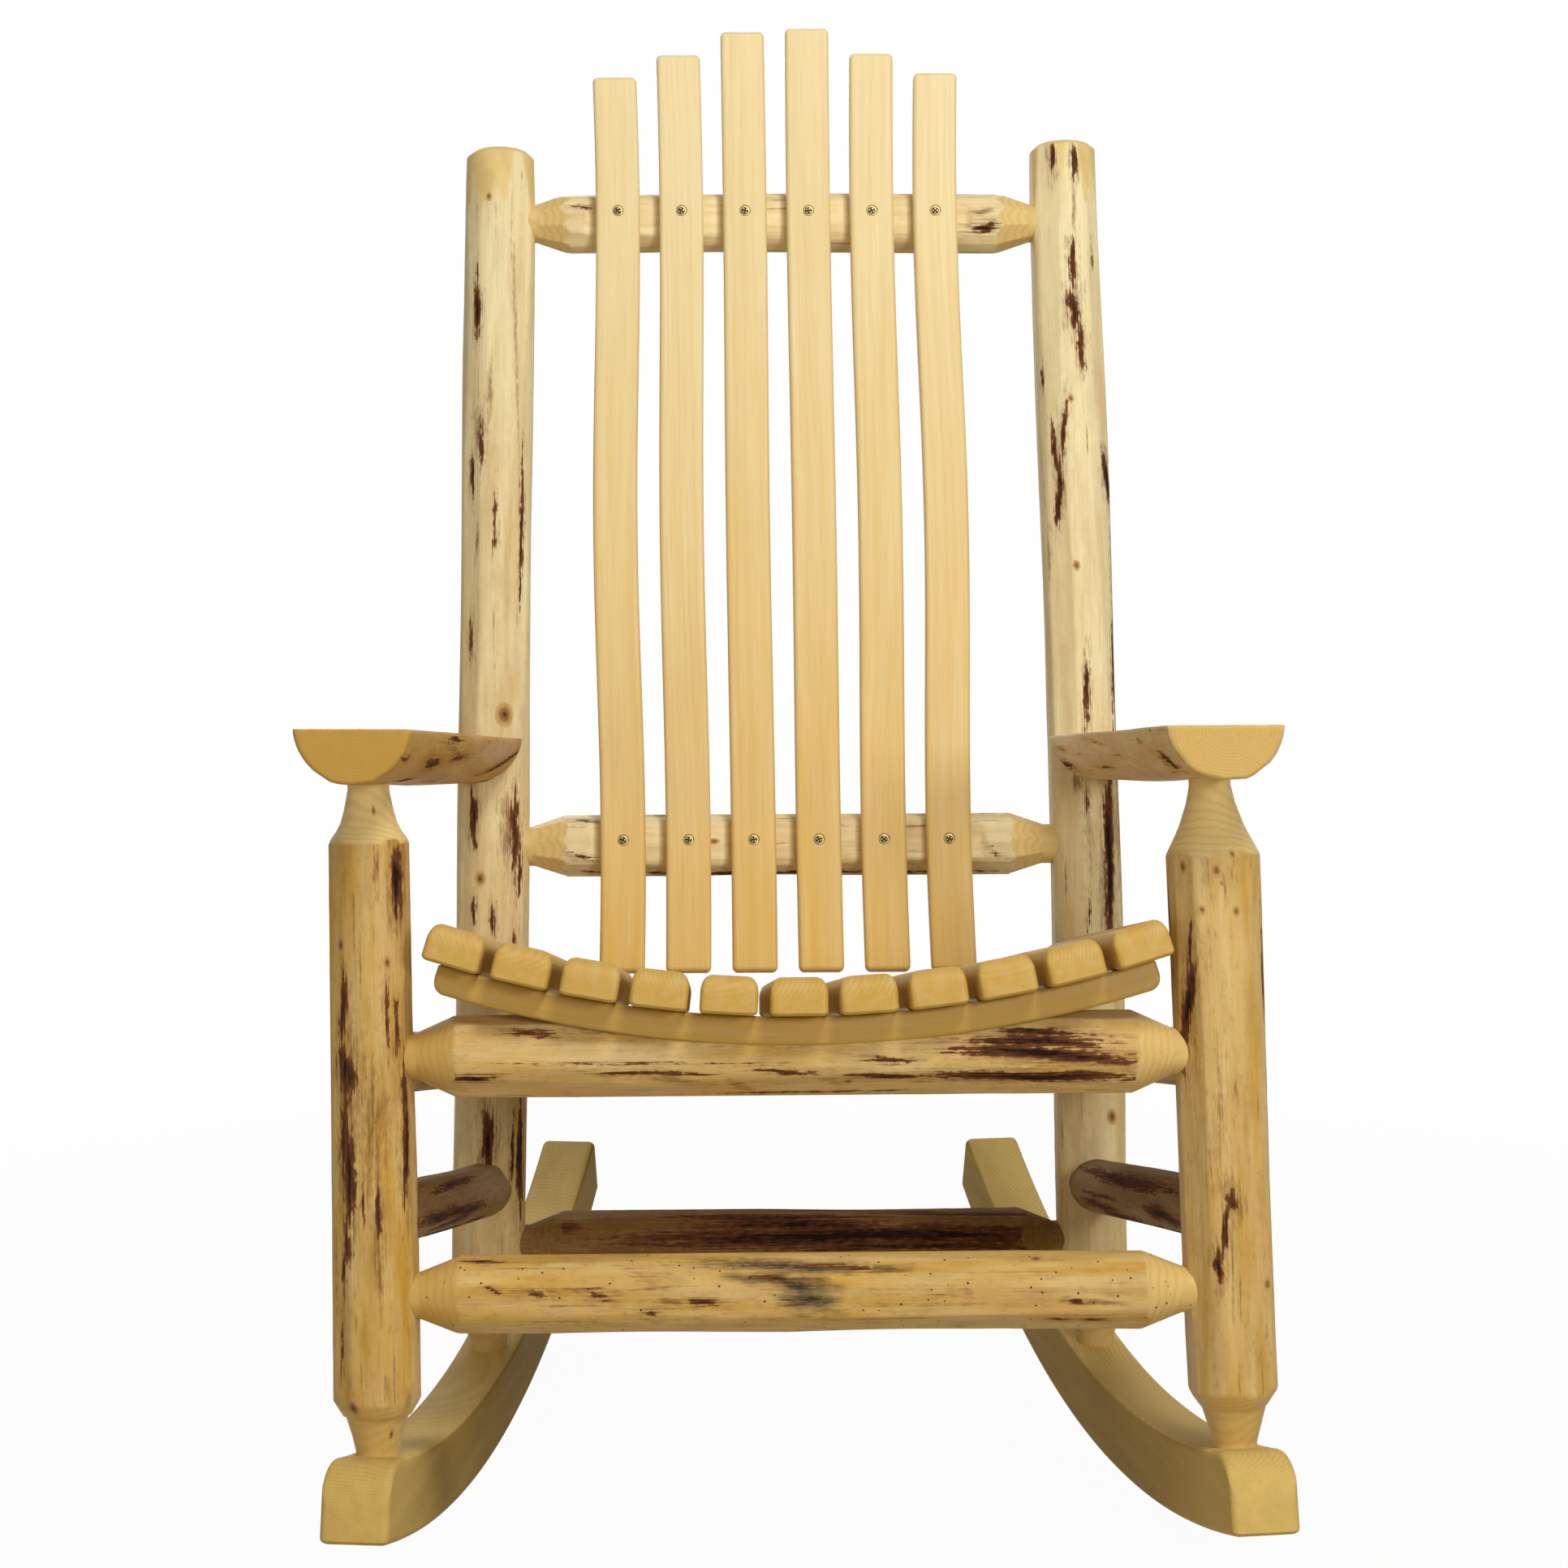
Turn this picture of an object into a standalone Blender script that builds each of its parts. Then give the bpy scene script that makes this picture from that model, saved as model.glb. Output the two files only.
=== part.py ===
"""Log rocking chair: a peeled-log frame on two sawn rockers, with bent back slats and a dished slat seat.

Metres and radians. The chair faces -y, +x is to the right of someone who looks at its front, and the
floor is z = 0. Every log ends in a round tenon that fits a drilled mortise.
"""
from math import asin, atan, ceil, cos, floor, pi, radians, sin, sqrt, tan

import bmesh
import bpy
from mathutils import Matrix, Vector

# Fits
FIT_GAP = 0.0003
TENON_WALL = 0.002
NECK_RUN = 0.003
DRILL_LEAD = 0.03

# Rockers: boards sawn to an arc, toed in towards the back
ROCKER_RADIUS = 1.53
ROCKER_LENGTH = 0.955
ROCKER_WIDTH = 0.050
ROCKER_DEPTH = 0.059
ROCKER_HALF_SPACING = 0.263
ROCKER_TOE_IN = radians(7.25)
ROCKER_FLAT = 0.09
ROCKER_CONTACT = 0.424
ROCKER_NOSE_ROUND = 0.034
ROCKER_TAIL_ROUND = 0.010
ROCKER_EDGE_ROUND = 0.005
LEAST_END_RUN = 0.6

# Front posts, foot to arm
FRONT_POST_FROM_NOSE = 0.084
FRONT_POST_LEAN = radians(4.7)
FRONT_POST_RACK = 0.011
FRONT_POST_SPREAD = 0.305
FRONT_POST_TOP = 0.584
FRONT_LEFT_DIAMETER = 0.059
FRONT_RIGHT_DIAMETER = 0.065

# Back posts, foot to top
BACK_POST_FROM_NOSE = 0.507
BACK_POST_RECLINE = radians(14.5)
BACK_POST_SPREAD = 0.2525
BACK_POST_TOP = 1.088
BACK_POST_BUTT_DIAMETER = 0.064
BACK_POST_TIP_DIAMETER = 0.060
POST_CROWN = 0.006
POST_CROWN_RUN = 0.012

# Necks and tenons at the ends of the posts
POST_TENON_DIAMETER = 0.030
POST_TAPER = 0.038
FOOT_NECK_RUN = 0.007
FOOT_TENON_DEPTH = 0.030
ARM_TENON_DEPTH = 0.020

# Rails and stretchers
RAIL_TENON_DIAMETER = 0.034
RAIL_TENON_DEPTH = 0.026
RAIL_TAPER = 0.033
SEAT_RAIL_DIAMETER = 0.061
SEAT_RAIL_HEIGHT = 0.3885
SIDE_RAIL_DIAMETER = 0.047
SIDE_RAIL_DROP = 0.005
SIDE_TENON_DIAMETER = 0.026
BACK_SEAT_TENON_DEPTH = 0.012
STRETCHER_DIAMETER = 0.0575
FRONT_STRETCHER_HEIGHT = 0.215
BACK_STRETCHER_HEIGHT = 0.144
SIDE_STRETCHER_DIAMETER = 0.046
SIDE_STRETCHER_FRONT_HEIGHT = 0.270
SIDE_STRETCHER_BACK_HEIGHT = 0.1905
BACK_RAIL_DIAMETER = 0.054
LOWER_BACK_RAIL_HEIGHT = 0.4765
UPPER_BACK_RAIL_DROP = 0.0685
BACK_RAIL_FLAT = 0.021

# Armrests: half logs, sawn side up
ARM_LOG_RADIUS = 0.0425
ARM_THICKNESS = 0.0395
ARM_SLOPE = radians(6.2)
ARM_OVERHANG = 0.088
ARM_FRONT_INSET = 0.004
ARM_REAR_OUTSET = 0.015
ARM_REAR_TENON_DIAMETER = 0.022
ARM_REAR_TENON_DEPTH = 0.024
ARM_REAR_TENON_DROP = 0.018

# Seat: slats on two arched bearers
SEAT_TILT = radians(10.3)
SEAT_ARC_RADIUS = 0.86
SEAT_SIDE_GAP = 0.006
SEAT_BACK_GAP = 0.008
SEAT_OVERHANG = 0.062
SEAT_SLAT_COUNT = 11
SEAT_SLAT_WIDTH = 0.0415
SEAT_SLAT_THICKNESS = 0.028
SEAT_SLAT_ROUND = 0.0075
BEARER_DEPTH = 0.018
BEARER_THICKNESS = 0.038
BEARER_END_INSET = 0.010
BEARER_LET_IN = 0.022
BEARER_FORWARD = 0.0115
BEARER_SPACING = 0.385
BEARER_END_ROUND = 0.009

# Back slats
BACK_SLAT_COUNT = 6
BACK_SLAT_WIDTH = 0.0387
BACK_SLAT_THICKNESS = 0.017
BACK_SLAT_ROUND = 0.0035
BACK_SLAT_PITCH = 0.0562
BACK_SLAT_SHIFT_LOWER = -0.0024
BACK_SLAT_SHIFT_UPPER = -0.0062
BACK_SLAT_CURVE = 5.0
BACK_SLAT_SIDE_BOW = 0.0019
BACK_SLAT_BOTTOM = 0.373
BACK_SLAT_RISE = 0.097
BACK_SLAT_STEP = 0.0205
BACK_SLAT_CUTS = 11
BACK_FLAT_MARGIN = 0.012

# Wood screws
SCREW_HEAD_DIAMETER = 0.008
SCREW_SHANK_DIAMETER = 0.004
SCREW_LENGTH = 0.034
SCREW_SINK = 0.0008
COUNTERSINK_DIAMETER = 0.012
BEARER_SCREW_SLAT = 1
BEARER_SCREW_LENGTH = 0.045

# Fineness of the curved surfaces
LOG_SIDES = 14
ARM_SIDES = 24
SCREW_SIDES = 10
CORNER_SEGMENTS = 4
EDGE_SEGMENTS = 2
TINY = 1e-6

LOG_COLOUR = (0.71, 0.53, 0.26)
SLAT_COLOUR = (0.78, 0.56, 0.27)
SAWN_COLOUR = (0.68, 0.52, 0.27)
STEEL_COLOUR = (0.34, 0.30, 0.24)

for old in list(bpy.data.objects):
    bpy.data.objects.remove(old, do_unlink=True)

chair_parts = bpy.data.collections.new("log_rocking_chair")
cutters = bpy.data.collections.new("cutters")
bpy.context.scene.collection.children.link(chair_parts)
bpy.context.scene.collection.children.link(cutters)

chair = bpy.data.objects.new("chair_origin", None)
chair_parts.objects.link(chair)


def finish_material(name, colour, roughness, metallic):
    """A plain Principled finish."""
    material = bpy.data.materials.new(name)
    material.use_nodes = True
    shader = material.node_tree.nodes["Principled BSDF"]
    shader.inputs["Base Color"].default_value = (*colour, 1.0)
    shader.inputs["Roughness"].default_value = roughness
    shader.inputs["Metallic"].default_value = metallic
    return material


PEELED_LOG = finish_material("peeled_pine_log", LOG_COLOUR, 0.45, 0.0)
PLANED_SLAT = finish_material("planed_pine", SLAT_COLOUR, 0.4, 0.0)
SAWN_BOARD = finish_material("sawn_pine", SAWN_COLOUR, 0.5, 0.0)
SCREW_STEEL = finish_material("screw_steel", STEEL_COLOUR, 0.35, 1.0)


def add_part(name, mesh, matrix, material):
    """A named piece of the chair, or a hidden cutter when it has no material."""
    piece = bpy.data.objects.new(name, mesh)
    piece.matrix_world = matrix
    piece.parent = chair
    if material is None:
        cutters.objects.link(piece)
        piece.hide_render = True
        piece.display_type = "WIRE"
    else:
        chair_parts.objects.link(piece)
        mesh.materials.append(material)
    return piece


def frame_along(start, direction, side=Vector((0.48, 0.6, 0.64))):
    """A frame at start with its z along direction and its x as near to side, a slanting line, as can be."""
    z_axis = direction.normalized()
    y_axis = z_axis.cross(side).normalized()
    x_axis = y_axis.cross(z_axis)
    turn = Matrix((x_axis, y_axis, z_axis)).transposed()
    return Matrix.Translation(start) @ turn.to_4x4()


def turned(name, profile, matrix, sides, material):
    """A solid of revolution about its own z; profile lists (radius, height) from top to bottom."""
    mesh = bpy.data.meshes.new(name)
    shape = bmesh.new()
    points = [shape.verts.new((radius, 0.0, height)) for radius, height in profile]
    for upper, lower in zip(points, points[1:]):
        shape.edges.new((upper, lower))
    shape.to_mesh(mesh)
    shape.free()
    piece = add_part(name, mesh, matrix, material)
    lathe = piece.modifiers.new("turned", "SCREW")
    lathe.axis = "Z"
    lathe.angle = 2 * pi
    lathe.steps = sides
    lathe.render_steps = sides
    lathe.use_merge_vertices = True
    lathe.merge_threshold = 0.00001
    lathe.use_smooth_shade = True
    return piece


def rounded(shape, edges, radius, segments):
    """Round the given edges of a bmesh."""
    bmesh.ops.bevel(shape, geom=edges, offset=radius, offset_type="OFFSET", segments=segments,
                    profile=0.5, affect="EDGES", clamp_overlap=True, material=-1)


def spans(edge, axis):
    """Whether an edge of a bmesh runs along one axis at all."""
    return abs(edge.verts[0].co[axis] - edge.verts[1].co[axis]) > TINY


def board(name, outline, thickness, matrix, material, corners=(), edge_round=0.0):
    """An outline in local x and z, sawn from a board whose thickness lies along y.

    corners lists (number in the outline, radius) for corners rounded across the board.
    """
    shape = bmesh.new()
    rim = [shape.verts.new((x, -thickness / 2, z)) for x, z in outline]
    face = shape.faces.new(rim)
    far = bmesh.ops.extrude_face_region(shape, geom=[face])["geom"]
    far_points = [item for item in far if isinstance(item, bmesh.types.BMVert)]
    bmesh.ops.translate(shape, verts=far_points, vec=(0.0, thickness, 0.0))
    bmesh.ops.recalc_face_normals(shape, faces=shape.faces)
    for corner, radius in corners:
        cross = [edge for edge in rim[corner].link_edges if spans(edge, 1)]
        rounded(shape, cross, radius, CORNER_SEGMENTS)
    if edge_round:
        sides = [item for item in shape.faces if abs(item.normal.y) > 1 - TINY]
        rounded(shape, list({edge for item in sides for edge in item.edges}), edge_round, EDGE_SEGMENTS)
    mesh = bpy.data.meshes.new(name)
    shape.to_mesh(mesh)
    shape.free()
    return add_part(name, mesh, matrix, material)


def bar(name, size, round_over, matrix, material, cuts=0, bend=None):
    """A rounded rectangular bar, its length along local z; bend moves each point before rounding."""
    shape = bmesh.new()
    bmesh.ops.create_cube(shape, size=1.0, matrix=Matrix.Diagonal((*size, 1.0)))
    if cuts:
        long_edges = [edge for edge in shape.edges if spans(edge, 2)]
        bmesh.ops.subdivide_edges(shape, edges=long_edges, cuts=cuts, use_grid_fill=True)
    if bend:
        for point in shape.verts:
            point.co = bend(point.co)
    if round_over:
        sharp = [edge for edge in shape.edges if edge.calc_face_angle(0.0) > pi / 4]
        rounded(shape, sharp, round_over, EDGE_SEGMENTS)
    mesh = bpy.data.meshes.new(name)
    shape.to_mesh(mesh)
    shape.free()
    return add_part(name, mesh, matrix, material)


def combine(piece, other, operation):
    """Cut the other solid from a piece, or join it on."""
    step = piece.modifiers.new(other.name, "BOOLEAN")
    step.operation = operation
    step.object = other
    step.solver = "EXACT"


def drill(piece, name, mouth, direction, radius, depth):
    """A blind round hole whose mouth is at a point, with the drill also clear above it."""
    profile = [(0.0, depth), (radius, depth), (radius, -DRILL_LEAD), (0.0, -DRILL_LEAD)]
    hole = turned(name, profile, frame_along(mouth, direction), LOG_SIDES, None)
    combine(piece, hole, "DIFFERENCE")


def on_axis(axis, height):
    """The point of a leaning post's axis at a height."""
    foot, top = axis
    return foot.lerp(top, (height - foot.z) / (top.z - foot.z))


# Rockers
# The arc's centre stands over the floor contact, so that one flat of the sawn arc lies on the floor.
flat_step = 2 * asin(ROCKER_FLAT / 2 / ROCKER_RADIUS)
arc_height = ROCKER_RADIUS * cos(flat_step / 2)
nose_angle = -asin(ROCKER_CONTACT / ROCKER_RADIUS)
tail_angle = asin((ROCKER_LENGTH - ROCKER_CONTACT) / ROCKER_RADIUS)


def rocker_arc(radius):
    """Points of one edge of the rocker, nose to tail, with its corners on the flats' ends."""
    first = ceil(nose_angle / flat_step - 0.5 + LEAST_END_RUN)
    last = floor(tail_angle / flat_step - 0.5 - LEAST_END_RUN)
    turns = [nose_angle] + [(i + 0.5) * flat_step for i in range(first, last + 1)] + [tail_angle]
    return [(radius * sin(turn), arc_height - radius * cos(turn)) for turn in turns]


def rocker_frame(side):
    """Local x runs along the rocker from the floor contact towards the tail."""
    middle = ROCKER_LENGTH / 2 - ROCKER_CONTACT
    run = Vector((-side * sin(ROCKER_TOE_IN), cos(ROCKER_TOE_IN), 0.0))
    contact = Vector((side * ROCKER_HALF_SPACING, 0.0, 0.0)) - run * middle
    across = Vector((0.0, 0.0, 1.0)).cross(run)
    turn = Matrix((run, across, Vector((0.0, 0.0, 1.0)))).transposed()
    return Matrix.Translation(contact) @ turn.to_4x4()


def rocker_top(side, from_nose):
    """The middle of the rocker's upper edge at a distance from its nose."""
    along = from_nose - ROCKER_CONTACT
    upper_radius = ROCKER_RADIUS - ROCKER_DEPTH
    height = arc_height - sqrt(upper_radius ** 2 - along ** 2)
    return rocker_frame(side) @ Vector((along, 0.0, height))


rockers = {}
for side, hand in ((-1, "left"), (1, "right")):
    under = rocker_arc(ROCKER_RADIUS)
    over = rocker_arc(ROCKER_RADIUS - ROCKER_DEPTH)
    outline = under + over[::-1]
    tail = len(under)
    rockers[hand] = board(f"rocker_{hand}", outline, ROCKER_WIDTH, rocker_frame(side), SAWN_BOARD,
                          corners=((len(outline) - 1, ROCKER_NOSE_ROUND), (tail - 1, ROCKER_TAIL_ROUND),
                                   (tail, ROCKER_TAIL_ROUND)),
                          edge_round=ROCKER_EDGE_ROUND)

# Posts
# A post is turned to a neck at its foot, and a front post at its top too; its tenon is let into the rocker.
front_diameters = {"left": FRONT_LEFT_DIAMETER, "right": FRONT_RIGHT_DIAMETER}
front_axes = {}
back_axes = {}
for side, hand in ((-1, "left"), (1, "right")):
    foot = rocker_top(side, FRONT_POST_FROM_NOSE)
    rise = FRONT_POST_TOP - foot.z
    top = Vector((side * FRONT_POST_SPREAD - FRONT_POST_RACK, foot.y + rise * tan(FRONT_POST_LEAN),
                  FRONT_POST_TOP))
    front_axes[hand] = (foot, top)
    foot = rocker_top(side, BACK_POST_FROM_NOSE)
    rise = BACK_POST_TOP - foot.z
    top = Vector((side * BACK_POST_SPREAD, foot.y + rise * tan(BACK_POST_RECLINE), BACK_POST_TOP))
    back_axes[hand] = (foot, top)


def foot_profile(radius):
    """The lower end of a post, from its shoulder down to the bottom of its tenon."""
    neck = POST_TENON_DIAMETER / 2
    return [(radius, POST_TAPER + FOOT_NECK_RUN), (neck, FOOT_NECK_RUN), (neck, -FOOT_TENON_DEPTH),
            (0.0, -FOOT_TENON_DEPTH)]


def front_post_profile(radius, length):
    """Necked and tenoned at both ends; the upper neck meets the arm at length."""
    neck = POST_TENON_DIAMETER / 2
    tip = length + ARM_TENON_DEPTH
    return [(0.0, tip), (neck, tip), (neck, length - NECK_RUN), (radius, length - NECK_RUN - POST_TAPER)] \
        + foot_profile(radius)


def back_post_profile(length, grow=0.0):
    """Tapers from butt to tip, with a crowned top."""
    tip = BACK_POST_TIP_DIAMETER / 2 + grow
    butt = BACK_POST_BUTT_DIAMETER / 2 + grow
    return [(0.0, length), (tip - POST_CROWN_RUN, length), (tip, length - POST_CROWN)] + foot_profile(butt)


front_posts = {}
back_posts = {}
for hand in ("left", "right"):
    foot, top = front_axes[hand]
    profile = front_post_profile(front_diameters[hand] / 2, (top - foot).length)
    front_posts[hand] = turned(f"front_post_{hand}", profile, frame_along(foot, top - foot), LOG_SIDES,
                               PEELED_LOG)
    drill(rockers[hand], f"front_foot_mortise_{hand}", foot, foot - top,
          POST_TENON_DIAMETER / 2 + FIT_GAP, FOOT_TENON_DEPTH + FIT_GAP)
    foot, top = back_axes[hand]
    profile = back_post_profile((top - foot).length)
    back_posts[hand] = turned(f"back_post_{hand}", profile, frame_along(foot, top - foot), LOG_SIDES,
                              PEELED_LOG)
    drill(rockers[hand], f"back_foot_mortise_{hand}", foot, foot - top,
          POST_TENON_DIAMETER / 2 + FIT_GAP, FOOT_TENON_DEPTH + FIT_GAP)


def back_post_radius(height):
    """Radius of a back post at a height."""
    share = height / BACK_POST_TOP
    return (BACK_POST_BUTT_DIAMETER * (1 - share) + BACK_POST_TIP_DIAMETER * share) / 2


# Tapered rails
# Each runs from the axis of one host log to the axis of another; its pencil-shaped ends pass into both.
def rail(name, ends, hosts, host_radii, diameter, tenon_diameter, tenon_depths):
    """A log whose tapered ends are tenoned into two host logs; returns the log."""
    start, stop = ends
    run = stop - start
    length = run.length
    tenon = tenon_diameter / 2
    body = diameter / 2
    near_face, far_face = host_radii
    near_tip = near_face - tenon_depths[0]
    far_tip = length - far_face + tenon_depths[1]
    profile = [(0.0, far_tip), (tenon, far_tip), (tenon, length - far_face - NECK_RUN),
               (body, length - far_face - RAIL_TAPER), (body, near_face + RAIL_TAPER),
               (tenon, near_face + NECK_RUN), (tenon, near_tip), (0.0, near_tip)]
    log = turned(name, profile, frame_along(start, run), LOG_SIDES, PEELED_LOG)
    for host, axis_point, face, depth, inward in ((hosts[0], start, near_face, tenon_depths[0], -run),
                                                  (hosts[1], stop, far_face, tenon_depths[1], run)):
        mouth = axis_point - inward.normalized() * face
        drill(host, f"{name}_mortise_{host.name}", mouth, inward, tenon + FIT_GAP, depth + FIT_GAP)
    return log


def cross_rail(name, axes, posts, radii, height, diameter):
    """A rail between the left and the right post of a pair."""
    ends = (on_axis(axes["left"], height), on_axis(axes["right"], height))
    return rail(name, ends, (posts["left"], posts["right"]), radii, diameter, RAIL_TENON_DIAMETER,
                (RAIL_TENON_DEPTH, RAIL_TENON_DEPTH))


front_radii = (FRONT_LEFT_DIAMETER / 2, FRONT_RIGHT_DIAMETER / 2)


def back_radii(height):
    """Radii of the left and right back posts at a height."""
    return (back_post_radius(height), back_post_radius(height))


seat_rail_front = cross_rail("seat_rail_front", front_axes, front_posts, front_radii, SEAT_RAIL_HEIGHT,
                             SEAT_RAIL_DIAMETER)
cross_rail("front_stretcher", front_axes, front_posts, front_radii, FRONT_STRETCHER_HEIGHT,
           STRETCHER_DIAMETER)
cross_rail("back_stretcher", back_axes, back_posts, back_radii(BACK_STRETCHER_HEIGHT),
           BACK_STRETCHER_HEIGHT, STRETCHER_DIAMETER)
upper_back_rail_height = BACK_POST_TOP - UPPER_BACK_RAIL_DROP
back_rails = {}
for level, height in (("lower", LOWER_BACK_RAIL_HEIGHT), ("upper", upper_back_rail_height)):
    back_rails[level] = cross_rail(f"back_rail_{level}", back_axes, back_posts, back_radii(height), height,
                                   BACK_RAIL_DIAMETER)

# Seat side rails and the back seat rail
# The side rails follow the tilt of the seat; their front tenons stop short of the front rail's tenons.
seat_run = Vector((0.0, cos(SEAT_TILT), -sin(SEAT_TILT)))
seat_up = Vector((0.0, sin(SEAT_TILT), cos(SEAT_TILT)))
seat_ends = [on_axis(front_axes[hand], SEAT_RAIL_HEIGHT) for hand in ("left", "right")]
seat_front = (seat_ends[0] + seat_ends[1]) / 2

side_rails = {}
side_rail_axes = {}
for hand in ("left", "right"):
    start = on_axis(front_axes[hand], SEAT_RAIL_HEIGHT - SIDE_RAIL_DROP)
    to_post = on_axis(back_axes[hand], start.z).y - start.y
    drop = to_post / (1 / tan(SEAT_TILT) + tan(BACK_POST_RECLINE))
    stop = on_axis(back_axes[hand], start.z - drop)
    front_radius = front_diameters[hand] / 2
    back_radius = back_post_radius(stop.z)
    front_depth = front_radius - RAIL_TENON_DIAMETER / 2 - TENON_WALL
    side_rail_axes[hand] = (start, stop)
    side_rails[hand] = rail(f"seat_side_rail_{hand}", (start, stop), (front_posts[hand], back_posts[hand]),
                            (front_radius, back_radius), SIDE_RAIL_DIAMETER, SIDE_TENON_DIAMETER,
                            (front_depth, RAIL_TENON_DEPTH))

seat_back = seat_front + seat_run * BEARER_SPACING
back_seat_ends = []
for hand in ("left", "right"):
    start, stop = side_rail_axes[hand]
    back_seat_ends.append(start.lerp(stop, (seat_back.y - start.y) / (stop.y - start.y)))
side_rail_radii = (SIDE_RAIL_DIAMETER / 2, SIDE_RAIL_DIAMETER / 2)
seat_rail_back = rail("seat_rail_back", back_seat_ends, (side_rails["left"], side_rails["right"]),
                      side_rail_radii, SEAT_RAIL_DIAMETER, SIDE_TENON_DIAMETER,
                      (BACK_SEAT_TENON_DEPTH, BACK_SEAT_TENON_DEPTH))

# Side stretchers and armrests
# These butt against the posts at full size: the ends are scribed to the post, and a tenon is hidden inside.
post_forms = {}
for hand in ("left", "right"):
    foot, top = front_axes[hand]
    profile = front_post_profile(front_diameters[hand] / 2 + FIT_GAP, (top - foot).length)
    post_forms["front", hand] = turned(f"front_post_form_{hand}", profile, frame_along(foot, top - foot),
                                       LOG_SIDES, None)
    foot, top = back_axes[hand]
    profile = back_post_profile((top - foot).length, FIT_GAP)
    post_forms["back", hand] = turned(f"back_post_form_{hand}", profile, frame_along(foot, top - foot),
                                      LOG_SIDES, None)


def hidden_tenon(piece, host, name, axis_point, inward, host_radius, diameter, depth):
    """A round tenon on the end of a scribed piece, and its mortise in the host post."""
    toward = inward.normalized()
    mouth = axis_point - toward * host_radius
    profile = [(0.0, depth), (diameter / 2, depth), (diameter / 2, -host_radius), (0.0, -host_radius)]
    tenon = turned(f"{name}_tenon", profile, frame_along(mouth, toward), LOG_SIDES, None)
    combine(piece, tenon, "UNION")
    drill(host, f"{name}_mortise", mouth, toward, diameter / 2 + FIT_GAP, depth + FIT_GAP)


for hand in ("left", "right"):
    start = on_axis(front_axes[hand], SIDE_STRETCHER_FRONT_HEIGHT)
    stop = on_axis(back_axes[hand], SIDE_STRETCHER_BACK_HEIGHT)
    run = stop - start
    body = SIDE_STRETCHER_DIAMETER / 2
    profile = [(0.0, run.length), (body, run.length), (body, 0.0), (0.0, 0.0)]
    stretcher = turned(f"side_stretcher_{hand}", profile, frame_along(start, run), LOG_SIDES, PEELED_LOG)
    combine(stretcher, post_forms["front", hand], "DIFFERENCE")
    combine(stretcher, post_forms["back", hand], "DIFFERENCE")
    hidden_tenon(stretcher, front_posts[hand], f"side_stretcher_front_{hand}", start, -run,
                 front_diameters[hand] / 2, SIDE_TENON_DIAMETER,
                 front_diameters[hand] / 2 - RAIL_TENON_DIAMETER / 2 - TENON_WALL)
    hidden_tenon(stretcher, back_posts[hand], f"side_stretcher_back_{hand}", stop, run,
                 back_post_radius(stop.z), SIDE_TENON_DIAMETER,
                 back_post_radius(stop.z) - RAIL_TENON_DIAMETER / 2 - TENON_WALL)

# The sawn face lies ARM_LOG_RADIUS - ARM_THICKNESS under the middle of the log it was split from.
arm_up = Vector((0.0, sin(ARM_SLOPE), cos(ARM_SLOPE)))
for side, hand in ((-1, "left"), (1, "right")):
    foot, top = front_axes[hand]
    seat_on_post = top + arm_up * (FIT_GAP + ARM_LOG_RADIUS)
    seat_on_post.x -= side * ARM_FRONT_INSET
    to_post = on_axis(back_axes[hand], seat_on_post.z).y - seat_on_post.y
    drop = to_post / (1 / tan(ARM_SLOPE) + tan(BACK_POST_RECLINE))
    rear = on_axis(back_axes[hand], seat_on_post.z - drop)
    rear.x += side * ARM_REAR_OUTSET
    run = (rear - seat_on_post).normalized()
    front = seat_on_post - run * (ARM_OVERHANG / cos(ARM_SLOPE))
    length = (rear - front).length
    profile = [(0.0, length), (ARM_LOG_RADIUS, length), (ARM_LOG_RADIUS, 0.0), (0.0, 0.0)]
    arm_frame = frame_along(front, run, Vector((0.0, 0.0, 1.0)))
    arm = turned(f"armrest_{hand}", profile, arm_frame, ARM_SIDES, PEELED_LOG)
    waste = bar(f"armrest_waste_{hand}", (2 * ARM_LOG_RADIUS, 4 * ARM_LOG_RADIUS, 2 * length), 0.0,
                arm_frame @ Matrix.Translation((ARM_THICKNESS, 0.0, length / 2)), None)
    combine(arm, waste, "DIFFERENCE")
    combine(arm, post_forms["back", hand], "DIFFERENCE")
    drill(arm, f"armrest_post_mortise_{hand}", top, top - foot, POST_TENON_DIAMETER / 2 + FIT_GAP,
          ARM_TENON_DEPTH + FIT_GAP)
    sawn_face = ARM_THICKNESS - ARM_LOG_RADIUS
    tenon_point = arm_frame @ Vector((sawn_face - ARM_REAR_TENON_DROP, 0.0, length))
    axis_point = on_axis(back_axes[hand], tenon_point.z)
    hidden_tenon(arm, back_posts[hand], f"armrest_{hand}", axis_point, Vector((0.0, run.y, run.z)),
                 back_post_radius(axis_point.z), ARM_REAR_TENON_DIAMETER, ARM_REAR_TENON_DEPTH)

# Seat bearers and slats
# The seat is dished: slats lie side by side on an arc, and the bearers are flat under each of them. Each seat
# rail is hollowed to a saddle that takes its bearer, which stands at the rail's front.
post_inset = max(front_radii) + SEAT_SIDE_GAP
seat_half_width = (seat_ends[1] - seat_ends[0]).length / 2 - post_inset
edge_turn = asin((seat_half_width - SEAT_SLAT_WIDTH / 2) / SEAT_ARC_RADIUS)
slat_turn = 2 * edge_turn / (SEAT_SLAT_COUNT - 1)
arc_top = SEAT_RAIL_DIAMETER / 2 - BEARER_LET_IN + BEARER_DEPTH
flat_radius = SEAT_ARC_RADIUS / cos(slat_turn / 2)
under_radius = flat_radius + BEARER_DEPTH


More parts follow.
